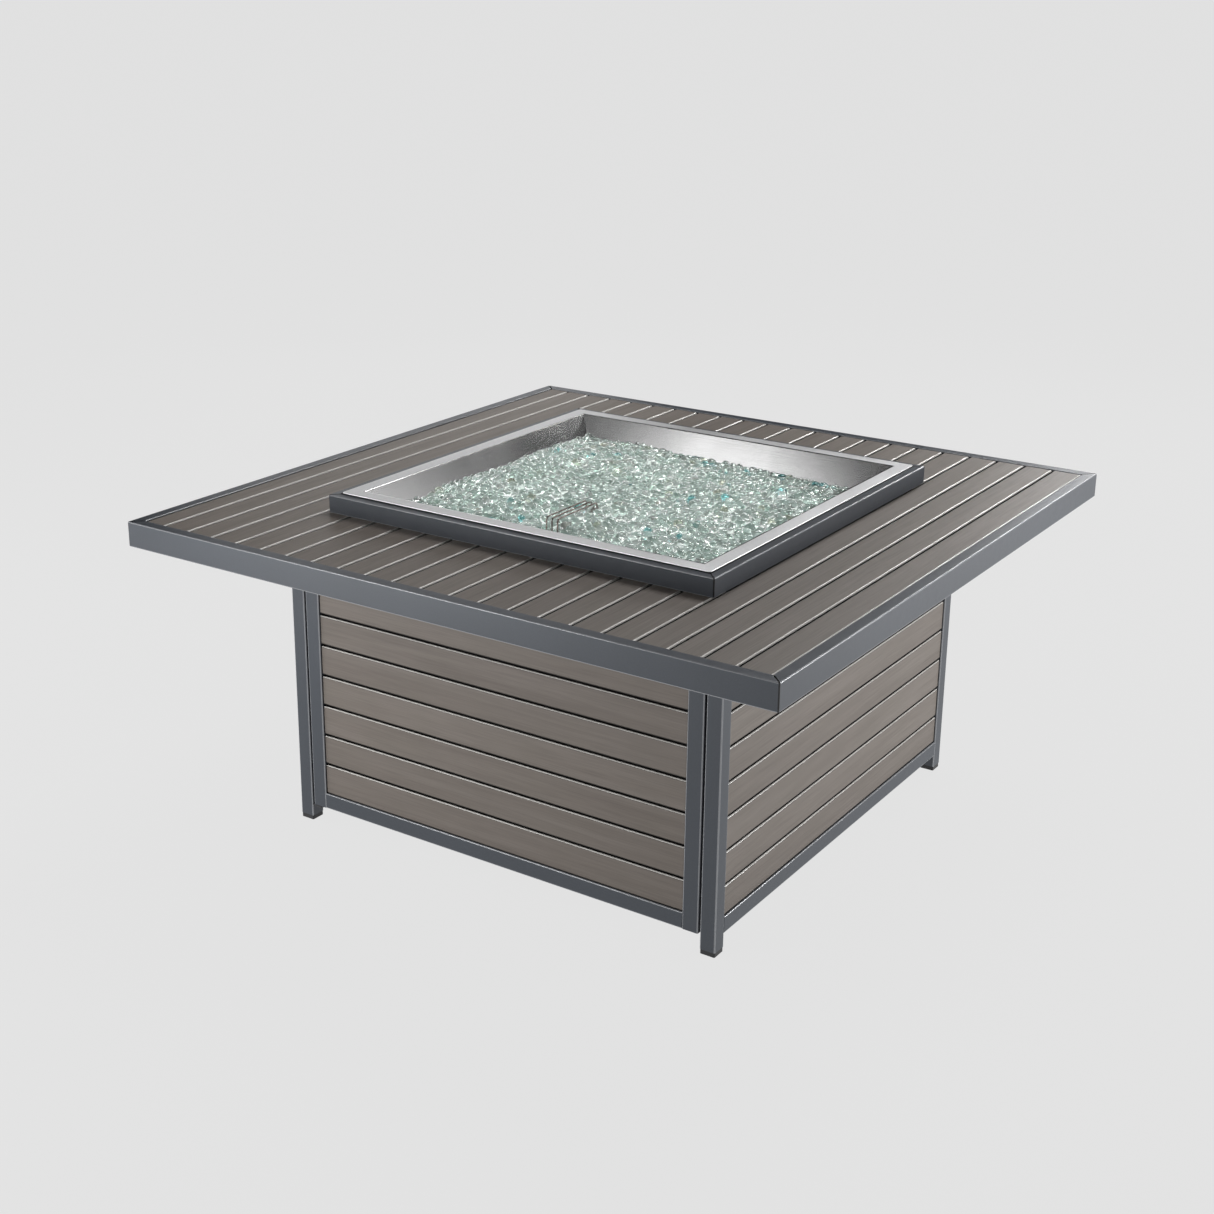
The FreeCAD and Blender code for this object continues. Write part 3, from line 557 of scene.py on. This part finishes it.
def rectangle(x, y, radii):
    """Section of a rectangle; radii run from its low-low corner, counter-clockwise."""
    corners = [(x[0], y[0]), (x[1], y[0]), (x[1], y[1]), (x[0], y[1])]
    return arc_outline(corners, radii)


SIDES = ("front", "right", "back", "left")


# ---------------------------------------------------------------- frame of the top, and the curb

def mitred_sides(prefix):
    """Four tubes round a square, mitred at its corners, in place of the CAD's."""
    low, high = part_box(prefix + "_front")
    outer = -low.y
    width = high.y - low.y
    section = rectangle((-outer, -outer + width), (low.z, high.z), [RAIL_RADIUS] * 4)

    def start(point):
        return point.x + MITRE_SEAM

    def stop(point):
        return -point.x - MITRE_SEAM

    for turns, side in enumerate(SIDES):
        shells = Shells()
        # the ends in the mitre's seam get painted shade and every rounded edge a painted highlight
        shells.bar(section, start, stop, turned(along_x, turns), ease=MITRE_EASE, seamed=True)
        name = "%s_%s" % (prefix, side)
        shells.piece("coated_" + name, GRAPHITE, "table", "graphite_coat", name)


mitred_sides("edge_rail")
mitred_sides("curb")


# ---------------------------------------------------------------- slats

def slat_section(x0, x1, low, high, lip):
    """Table slat across its run: rounded top edges, and a lip under the gap on its low side."""
    corners = [(x1, low), (x1, high), (x0, high)]
    radii = [EASE, SLAT_RADIUS, SLAT_RADIUS]
    if lip:
        reach = x0 - SLAT_GAP + LIP_CLEAR
        corners += [(x0, low + LIP_THICK), (reach, low + LIP_THICK), (reach, low)]
        radii += [0, 0, 0]
    else:
        corners.append((x0, low))
        radii.append(EASE)
    return arc_outline(corners, radii)


def top_slats():
    """Slats from front to back between the edge rails, cut off at the burner where they meet it."""
    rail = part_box("edge_rail_front")[1]
    inner = -rail.y
    low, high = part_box("top_slats_left")
    full_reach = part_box("top_slats_front")[0].x
    short_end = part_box("top_slats_back")[0].y
    end = inner - SLAT_END_GAP
    spans = []
    right = end
    middle = inner - SLAT_PITCH
    while middle > -inner:
        spans.append((middle + SLAT_GAP / 2, right))
        right = middle - SLAT_GAP / 2
        middle -= SLAT_PITCH
    spans.append((-end, right))
    groups = {side: Shells() for side in SIDES}
    draw = random.Random(TOP_SEED)

    # the faces down in the gaps, lips included, get painted shade; rounded edges that face right, towards the
    # light, get a painted highlight, those facing left painted shade
    def between_slats(p):
        return low.z < p.y < high.z - GAP_FROM * SLAT_RADIUS

    def faces_right(facing):
        return facing.x > 0

    for x0, x1 in spans:
        section = slat_section(x0, x1, low.z, high.z, lip=x0 > -end)
        if x1 < full_reach + SLAT_GAP or x0 > -full_reach - SLAT_GAP:
            runs = {"left" if x1 < 0 else "right": (-end, end)}
        else:
            runs = {"front": (-end, -short_end), "back": (short_end, end)}
        for side, (start, stop) in runs.items():
            groups[side].bar(section, start, stop, along_y, draw.random(), EASE, between_slats, faces_right)
    for side, shells in groups.items():
        shells.piece("table_slats_" + side, SLATS_ALONG_Y, "table", "slat_finish", "top_slats_" + side)


def wall_section(front, back, low, high, lip):
    """Panel slat seen from its end: rounded front edges, and a lip behind the gap above it."""
    corners = [(front, high), (front, low), (back, low)]
    radii = [WALL_RADIUS, WALL_RADIUS, EASE]
    if lip:
        reach = high + SLAT_GAP - LIP_CLEAR
        corners += [(back, reach), (back - LIP_THICK, reach), (back - LIP_THICK, high)]
        radii += [0, 0, 0]
    else:
        corners.append((back, high))
        radii.append(EASE)
    return arc_outline(corners, radii)


def wall_slats(spans, front, back, end, place, seed):
    """Stack of horizontal slats, one for each span of heights."""
    shells = Shells()
    draw = random.Random(seed)

    # the faces set back in the gaps and the lips behind them get painted shade; rounded edges that face up,
    # towards the light, get a painted highlight, the lower ones painted shade
    def between_slats(p):
        return front + GAP_FROM * WALL_RADIUS < p.x < back

    def faces_up(facing):
        return facing.y > UPWARD

    for i, (low, high) in enumerate(spans):
        section = wall_section(front, back, low, high, lip=i < len(spans) - 1)
        shells.bar(section, -end, end, place, draw.random(), WALL_END_EASE, between_slats, faces_up)
    return shells


def panels():
    """Slats of the right, back and left sides, all with the joints of the right side."""
    back_low, back_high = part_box("panel_slats_back")
    front = -back_high.y
    back = -back_low.y
    end = back_high.x
    spans = []
    low = back_low.z
    middle = low + PANEL_FIRST
    while middle < back_high.z:
        spans.append((low, middle - SLAT_GAP / 2))
        low = middle + SLAT_GAP / 2
        middle += PANEL_PITCH
    spans.append((low, back_high.z))
    for turns, side in ((1, "right"), (2, "back"), (3, "left")):
        shells = wall_slats(spans, front, back, end, turned(along_x, turns), PANEL_SEED + turns)
        material = SLATS_ALONG_X if side == "back" else SLATS_ALONG_Y
        shells.piece("side_slats_" + side, material, "table", "slat_finish", "panel_slats_" + side)


def door_slats():
    """Slats of the door, from its bottom rail up."""
    low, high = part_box("door_slats")
    spans = []
    for i in range(DOOR_SLATS):
        bottom = low.z + i * DOOR_PITCH + (SLAT_GAP / 2 if i else 0)
        top = low.z + (i + 1) * DOOR_PITCH - (SLAT_GAP / 2 if i < DOOR_SLATS - 1 else 0)
        spans.append((bottom, top))
    shells = wall_slats(spans, low.y, high.y, high.x - DOOR_CLEAR, along_x, DOOR_SEED)
    shells.piece("door_boards", SLATS_ALONG_X, "door", "slat_finish", "door_slats")


top_slats()
panels()
door_slats()


# ---------------------------------------------------------------- base frame and door frame

def tube_piece(node, axis, body):
    """Square tube with rounded edges along one axis, in place of a CAD tube."""
    low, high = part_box(node)
    place = (along_x, along_y, along_z)[axis]
    across = [i for i in range(3) if i != axis]
    first, second = [(low[i], high[i]) for i in across]
    section = rectangle(first, second, [TUBE_RADIUS] * 4)
    shells = Shells()
    # every rounded edge of the tube gets a painted highlight
    shells.bar(section, low[axis], high[axis], place, ease=TUBE_EASE)
    shells.piece("coated_" + node, GRAPHITE, body, "graphite_coat", node)


def base_tubes():
    for corner in ("front_left", "front_right", "back_left", "back_right"):
        tube_piece("leg_" + corner, 2, "table")
    tube_piece("rail_front_top", 0, "table")
    for side, axis in (("right", 1), ("back", 0), ("left", 1)):
        tube_piece("rail_%s_top" % side, axis, "table")
        tube_piece("rail_%s_bottom" % side, axis, "table")
    for side in ("left", "right"):
        tube_piece("door_stile_" + side, 2, "door")
    for side in ("top", "bottom"):
        tube_piece("door_rail_" + side, 0, "door")


base_tubes()


# ---------------------------------------------------------------- burner pan

def bent_sheet(path, radii, thickness):
    """Section of a bent sheet below a path of (along, height) points, with its bends rounded."""
    under = []
    for i, here in enumerate(path):
        normals = []
        for a, b in ((i - 1, i), (i, i + 1)):
            if a >= 0 and b < len(path):
                run = (Vector(path[b]) - Vector(path[a])).normalized()
                normals.append(Vector((run.y, -run.x)))
        first, last = normals[0], normals[-1]
        under.append(Vector(here) + (first + last) * thickness / (1 + first.dot(last)))
    corners = [Vector(point) for point in reversed(path)] + under
    return arc_outline(corners, list(reversed(radii)) + list(radii))


def burner_pan():
    """Four bent wall sheets that meet at a seam in each corner, and the flat flange round them."""
    floor = PAN_LOW.z + PAN_SHEET
    lip = PAN_MOUTH + BEND_RADIUS
    foot = PAN_MOUTH - PAN_SLOPE * (PAN_RIM - floor)
    path = [(-lip - SEAM, PAN_RIM), (-PAN_MOUTH, PAN_RIM), (-foot, floor), (-BURNER_HOLE_HALF, floor)]
    section = bent_sheet(path, (0, BEND_RADIUS, BEND_RADIUS, 0), PAN_SHEET)
    seam_starts = PAN_RIM - 2 * BEND_RADIUS

    def end(point):
        return -point.x - (SEAM if point.y < seam_starts else 0)

    walls = {"pan_walls_front_back": ((0, 2), STEEL_X), "pan_walls_left_right": ((1, 3), STEEL_Y)}
    for name, (quarter_turns, steel) in walls.items():
        shells = Shells()
        for turns in quarter_turns:
            shells.bar(section, lambda p: -end(p), end, turned(along_x, turns), ease=SHEET_EASE)
        shells.piece(name, steel, "table", "pan_steel", "burner_pan")

    outer = rectangle((PAN_LOW.x, PAN_HIGH.x), (PAN_LOW.y, PAN_HIGH.y), [FLANGE_RADIUS] * 4)
    inner = rectangle((-lip, lip), (-lip, lip), [INNER_CORNER] * 4)
    edge = FLANGE_EASE * PAN_SHEET
    bottom = PAN_RIM - PAN_SHEET
    rings = [
        (inset(outer, edge), bottom),
        (outer, bottom + edge),
        (outer, PAN_RIM - edge),
        (inset(outer, EASE_BEND * edge), PAN_RIM - EASE_BEND * edge),
        (inset(outer, edge), PAN_RIM),
        (inner, PAN_RIM),
        (inner, bottom),
    ]
    count = len(outer)
    points = [(p.x, p.y, z) for ring, z in rings for p in ring]
    faces = []
    for r in range(len(rings)):
        after = (r + 1) % len(rings)
        for i in range(count):
            j = (i + 1) % count
            faces.append((r * count + i, r * count + j, after * count + j, after * count + i))
    mesh = bpy.data.meshes.new("pan_flange")
    mesh.from_pydata(points, [], faces)
    finish_piece("pan_flange", mesh, STEEL_FLANGE, "table", "pan_steel", "burner_pan")


burner_pan()


def pan_gasket():
    """Black seal under the flange; it reaches a little past the flange's edge as a black band that stands in
    for the shade line under the flange.
    """
    low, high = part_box("pan_gasket")
    outer = PAN_HIGH.x + GASKET_SHADE_BAND
    radius = SEAL_ROUND * (high.z - low.z)
    section = rectangle((-outer, -outer + GASKET_WIDTH), (low.z, high.z), [radius, 0, 0, radius])
    shells = Shells()
    for turns in range(4):
        shells.bar(section, lambda p: p.x, lambda p: -p.x, turned(along_x, turns), ease=SEAL_EASE)
    shells.piece("pan_seal", RUBBER, "table", "gasket_black", "pan_gasket")


pan_gasket()


# ---------------------------------------------------------------- fire glass

def glass_level(x, y):
    """Height of the glass: lowest in the back right corner, mounded in the middle, hollow by the pilot."""
    u, v = x / GLASS_HIGH.x, y / GLASS_HIGH.y
    edge = GLASS_AT_FRONT_LEFT - GLASS_FALL * (0.5 + 0.5 * u) * (0.5 + 0.5 * v)
    mound = GLASS_MOUND * (1 - u ** 4) * (1 - v ** 2)
    waves = sum(high * np.sin(by_x * x + by_y * y + phase) for high, by_x, by_y, phase in GLASS_WAVES)
    away = ((x - GUARD_HIGH.x) ** 2 + (y - GUARD_LOW.y) ** 2) / GUARD_HOLLOW_REACH ** 2
    return edge + mound + waves - GUARD_HOLLOW * np.exp(-away)


def guard_runs():
    """The straight runs of the three guard wires that the glass leaves bare: the front legs and the tops."""
    middle = (GUARD_LOW.x + GUARD_HIGH.x) / 2
    reach = (GUARD_HIGH.x - GUARD_LOW.x) / 2 - WIRE_RADIUS
    front, back = GUARD_LOW.y + WIRE_RADIUS, GUARD_HIGH.y - WIRE_RADIUS
    foot, top = GUARD_LOW.z, GUARD_HIGH.z - WIRE_RADIUS
    runs = []
    for x in (middle - reach, middle, middle + reach):
        runs.append(((x, front, foot), (x, front, top)))
        runs.append(((x, front, top), (x, back, top)))
    return [(np.array(start), np.array(end)) for start, end in runs]


GUARD_RUNS = guard_runs()


def keep_in_pan(points, radii):
    """Moves beads back between the pan's bottom and walls and the glass level, clear of the guard."""
    bottom = PAN_LOW.z + PAN_SHEET + BEAD_REACH * radii
    top = glass_level(points[:, 0], points[:, 1]) - radii
    points[:, 2] = np.clip(points[:, 2], bottom, top)
    slant = math.sqrt(1 + PAN_SLOPE ** 2)
    reach = PAN_MOUTH - PAN_SLOPE * (PAN_RIM - points[:, 2]) - slant * radii
    points[:, 0] = np.clip(points[:, 0], -reach, reach)
    points[:, 1] = np.clip(points[:, 1], -reach, reach)
    for start, end in GUARD_RUNS:
        run = end - start
        t = np.clip((points - start) @ run / (run @ run), 0, 1)
        away = points - (start + t[:, None] * run)
        gap = np.linalg.norm(away, axis=1)
        short = np.clip(radii + GUARD_CLEAR - gap, 0, None)
        points += away / np.maximum(gap, TINY)[:, None] * short[:, None]


def near_pairs(points):
    """Pairs of beads that are close enough to meet soon."""
    tree = kdtree.KDTree(len(points))
    for i, point in enumerate(points):
        tree.insert(point, i)
    tree.balance()
    reach = 2 * BEAD_RADII[1] + BEAD_NEAR
    pairs = []
    for i, point in enumerate(points):
        pairs += [(i, j) for _, j, _ in tree.find_range(point, reach) if j > i]
    return np.array(pairs).T


def scatter_beads():
    """Centres and radii of the beads: layers of a jittered grid, pushed apart until they hardly overlap."""
    draw = np.random.default_rng(BEAD_SEED)
    half = GLASS_HIGH.x
    layers = []
    for layer, (count_step, sink) in enumerate(BEAD_LAYERS):
        across = np.arange(-half, half, count_step)
        up = np.arange(-half, half, count_step * math.sqrt(3) / 2)
        x, y = np.meshgrid(across, up)
        x[::2] += count_step / 2
        x, y = x.ravel(), y.ravel()
        x = x + draw.normal(0, BEAD_JITTER * count_step, x.size)
        y = y + draw.normal(0, BEAD_JITTER * count_step, y.size)
        radii = draw.uniform(*BEAD_RADII, x.size)
        z = glass_level(x, y) - radii - sink - draw.uniform(0, BEAD_DROP, x.size)
        layers.append((np.column_stack((x, y, z)), radii, np.full(x.size, layer)))
    points, radii, layer = (np.concatenate(part) for part in zip(*layers))
    keep_in_pan(points, radii)
    for _ in range(BEAD_ROUNDS):
        first, second = near_pairs(points)
        for _ in range(BEAD_PASSES):
            away = points[first] - points[second]
            gap = np.maximum(np.linalg.norm(away, axis=1), TINY)
            overlap = np.clip(radii[first] + radii[second] - gap, 0, None)
            push = away * (BEAD_PUSH * overlap / gap)[:, None]
            shift = np.zeros_like(points)
            np.add.at(shift, first, push)
            np.add.at(shift, second, -push)
            points += np.clip(shift, -BEAD_STEP, BEAD_STEP)
            keep_in_pan(points, radii)
    return points, radii, layer


def bead_shapes(subdivisions, draw):
    """A few lumpy, slightly flattened beads of unit radius, as point arrays on one set of faces."""
    ball = bmesh.new()
    bmesh.ops.create_icosphere(ball, subdivisions=subdivisions, radius=1.0)
    points = np.array([vertex.co for vertex in ball.verts])
    faces = np.array([[vertex.index for vertex in face.verts] for face in ball.faces])
    ball.free()
    shapes = []
    for _ in range(BEAD_KINDS):
        lumps = np.ones(len(points))
        for _ in range(3):
            way = draw.normal(size=3)
            way /= np.linalg.norm(way)
            lumps += draw.uniform(-BEAD_LUMP, BEAD_LUMP) * (points @ way) ** 2
        flat = [draw.uniform(*span) for span in BEAD_FLAT]
        shapes.append(points * lumps[:, None] * flat)
    return shapes, faces


def turn_matrix(draw):
    """Any turn about the upright, with a tilt, since flattened beads lie mostly flat."""
    heading = draw.uniform(0, 2 * math.pi)
    spin = Quaternion((0, 0, 1), draw.uniform(0, 2 * math.pi))
    tilt = Quaternion((math.cos(heading), math.sin(heading), 0), draw.normal(0, BEAD_TILT))
    return np.array((tilt @ spin).to_matrix())


def bead_tints(count, draw):
    """Mostly pale aqua, some nearly clear, a few teal and a few olive."""
    pick = draw.random(count)
    tints = np.array(PALE_AQUA) + draw.normal(0, TINT_SPREAD, (count, 1))
    for below, tint in TINT_SHARES:
        tints[pick > below] = tint
    return np.clip(tints, 0, 1)


def bead_mesh(name, material, centres, radii, tints, subdivisions, draw):
    """One piece of many beads, each a turned and scaled copy of one of the shapes."""
    shapes, faces = bead_shapes(subdivisions, draw)
    count = len(centres)
    each = len(shapes[0])
    points = np.empty((count, each, 3))
    for i in range(count):
        points[i] = shapes[i % len(shapes)] @ turn_matrix(draw).T * radii[i] + centres[i]
    all_faces = (faces[None] + each * np.arange(count)[:, None, None]).reshape(-1, 3)
    mesh = bpy.data.meshes.new(name)
    mesh.vertices.add(count * each)
    mesh.vertices.foreach_set("co", points.reshape(-1).astype(np.float32))
    mesh.loops.add(all_faces.size)
    mesh.loops.foreach_set("vertex_index", all_faces.reshape(-1).astype(np.int32))
    mesh.polygons.add(len(all_faces))
    mesh.polygons.foreach_set("loop_start", (3 * np.arange(len(all_faces))).astype(np.int32))
    mesh.update(calc_edges=True)
    mesh.polygons.foreach_set("use_smooth", [True] * len(all_faces))
    colours = np.ones((count, each, 4), np.float32)
    colours[:, :, :3] = tints[:, None, :]
    mesh.attributes.new("tint", "FLOAT_COLOR", "POINT").data.foreach_set("color", colours.reshape(-1))
    mesh.materials.append(material)
    piece = bpy.data.objects.new(name, mesh)
    bpy.context.scene.collection.objects.link(piece)
    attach(piece, "table")
    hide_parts("fire_glass")


def fire_glass():
    """Loose beads in the top of the pan over a bed that stands for the glass further down."""
    draw = np.random.default_rng(BEAD_SEED + 1)
    centres, radii, layer = scatter_beads()
    tints = bead_tints(len(centres), draw)
    top = np.flatnonzero(layer == 0)
    rows = np.array_split(top[np.argsort(centres[top, 1])], BEAD_ROWS)
    for i, chosen in enumerate(rows):
        name = "glass_beads_row_%d" % (i + 1)
        bead_mesh(name, BEADS, centres[chosen], radii[chosen], tints[chosen], 3, draw)
    under = np.flatnonzero(layer > 0)
    bead_mesh("glass_beads_under", DEEP_BEADS, centres[under], radii[under], tints[under], 2, draw)

    shells = bmesh.new()
    n = BED_STEPS
    half_low = PAN_MOUTH - PAN_SLOPE * (PAN_RIM - PAN_LOW.z) - PAN_SHEET
    grid = np.linspace(-1, 1, n)
    top_points = []
    bottom_points = []
    for v in grid:
        for u in grid:
            level = float(glass_level(u * half_low, v * half_low)) - BED_SINK
            half = PAN_MOUTH - PAN_SLOPE * (PAN_RIM - level) - PAN_SHEET
            top_points.append(shells.verts.new((u * half, v * half, level)))
            bottom_points.append(shells.verts.new((u * half_low, v * half_low, PAN_RIM - BED_BOTTOM)))
    for r in range(n - 1):
        for c in range(n - 1):
            square = (r * n + c, r * n + c + 1, (r + 1) * n + c + 1, (r + 1) * n + c)
            shells.faces.new([top_points[k] for k in square])
            shells.faces.new([bottom_points[k] for k in reversed(square)])
    border = list(range(n)) + [r * n + n - 1 for r in range(1, n)]
    border += [(n - 1) * n + c for c in range(n - 2, -1, -1)] + [r * n for r in range(n - 2, 0, -1)]
    for a, b in zip(border, border[1:] + border[:1]):
        shells.faces.new((bottom_points[a], bottom_points[b], top_points[b], top_points[a]))
    mesh = bpy.data.meshes.new("glass_bed")
    shells.to_mesh(mesh)
    shells.free()
    finish_piece("glass_bed", mesh, BED, "table", "bead_glass", "fire_glass", sharp=BED_SHARP)


fire_glass()


# ---------------------------------------------------------------- CAD nodes that keep their own shape

KEPT = {
    "slat_ledges": HIDDEN_STEEL,
    "top_bearers": HIDDEN_STEEL,
    "panel_battens": HIDDEN_STEEL,
    "door_battens": HIDDEN_STEEL,
    "control_plate": HIDDEN_STEEL,
    "hinge_lug": HIDDEN_STEEL,
    "foot_caps": BLACK_PLASTIC,
    "control_knob": BLACK_PLASTIC,
    "igniter_housing": BLACK_PLASTIC,
    "igniter_button": BLACK_PLASTIC,
    "catch_magnet": BLACK_PLASTIC,
    "burner_ring": BURNER_STEEL,
    "burner_feed": BURNER_STEEL,
    "pilot_bracket": BURNER_STEEL,
    "pilot_hood": BURNER_STEEL,
    "thermocouple": BURNER_STEEL,
    "spark_electrode": BURNER_STEEL,
    "valve_stem": BURNER_STEEL,
    "pilot_guard": WIRE_STEEL,
    "air_mixer": BRASS,
    "gas_valve": BRASS,
    "gas_inlet": BRASS,
    "gas_tube": ALUMINIUM,
    "pilot_lines": ALUMINIUM,
    "hinge_pins": ZINC,
    "catch_strike": ZINC,
}


def finish_kept_nodes():
    for node, material in KEPT.items():
        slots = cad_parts[node].data.materials
        slots.clear()
        slots.append(material)


finish_kept_nodes()


# ---------------------------------------------------------------- studio

def add_softbox(name, azimuth, elevation, distance, power, side):
    """A square softbox that looks at the table; azimuth runs from behind (+Y) towards the right (+X)."""
    data = bpy.data.lights.new(name, "AREA")
    data.shape = "SQUARE"
    data.size = side
    data.energy = power
    turn, rise = math.radians(azimuth), math.radians(elevation)
    away = Vector((math.sin(turn) * math.cos(rise), math.cos(turn) * math.cos(rise), math.sin(rise)))
    light = bpy.data.objects.new(name, data)
    bpy.context.scene.collection.objects.link(light)
    light.location = LIT_POINT + distance * away
    light.rotation_euler = away.to_track_quat("Z", "Y").to_euler()


def studio():
    """Glowing floor, a sky that only the camera and the glass see, and the softboxes."""
    floor_mesh = bpy.data.meshes.new("studio_floor")
    corners = [(FLOOR_REACH * x, FLOOR_REACH * y, 0) for x, y in ((-1, -1), (1, -1), (1, 1), (-1, 1))]
    floor_mesh.from_pydata(corners, [], [(0, 1, 2, 3)])
    floor_mesh.materials.append(studio_floor())
    floor = bpy.data.objects.new("studio_floor", floor_mesh)
    bpy.context.scene.collection.objects.link(floor)

    world = bpy.data.worlds.new("studio_air")
    bpy.context.scene.world = world
    world.use_nodes = True
    nodes, links = world.node_tree.nodes, world.node_tree.links
    seen = nodes["Background"]
    seen.inputs["Color"].default_value = (1, 1, 1, 1)
    seen.inputs["Strength"].default_value = BACKDROP
    lighting = nodes.new("ShaderNodeBackground")
    lighting.inputs["Color"].default_value = (1, 1, 1, 1)
    path = nodes.new("ShaderNodeLightPath")
    through_glass = nodes.new("ShaderNodeMath")
    through_glass.operation = "MULTIPLY"
    through_glass.inputs[1].default_value = GLASS_SKY
    links.new(path.outputs["Is Transmission Ray"], through_glass.inputs[0])
    links.new(through_glass.outputs["Value"], lighting.inputs["Strength"])
    mix = nodes.new("ShaderNodeMixShader")
    links.new(path.outputs["Is Camera Ray"], mix.inputs["Fac"])
    links.new(lighting.outputs["Background"], mix.inputs[1])
    links.new(seen.outputs["Background"], mix.inputs[2])
    links.new(mix.outputs["Shader"], nodes["World Output"].inputs["Surface"])

    for softbox in SOFTBOXES:
        add_softbox(*softbox)


def camera():
    """A camera that matches the photograph; azimuth runs from the front (-Y) towards the right (+X)."""
    azimuth = math.radians(CAMERA_AZIMUTH)
    elevation = math.radians(CAMERA_ELEVATION)
    data = bpy.data.cameras.new("camera")
    data.lens = CAMERA_LENS
    data.sensor_width = CAMERA_SENSOR
    data.shift_x, data.shift_y = CAMERA_SHIFT
    back = Vector((
        math.sin(azimuth) * math.cos(elevation),
        -math.cos(azimuth) * math.cos(elevation),
        math.sin(elevation),
    ))
    made = bpy.data.objects.new("camera", data)
    bpy.context.scene.collection.objects.link(made)
    made.location = CAMERA_PLACE
    made.rotation_mode = "QUATERNION"
    roll = Quaternion((0, 0, 1), math.radians(CAMERA_ROLL))
    made.rotation_quaternion = (-back).to_track_quat("-Z", "Y") @ roll
    bpy.context.scene.camera = made


studio()
camera()
bpy.context.scene.view_settings.view_transform = "Standard"
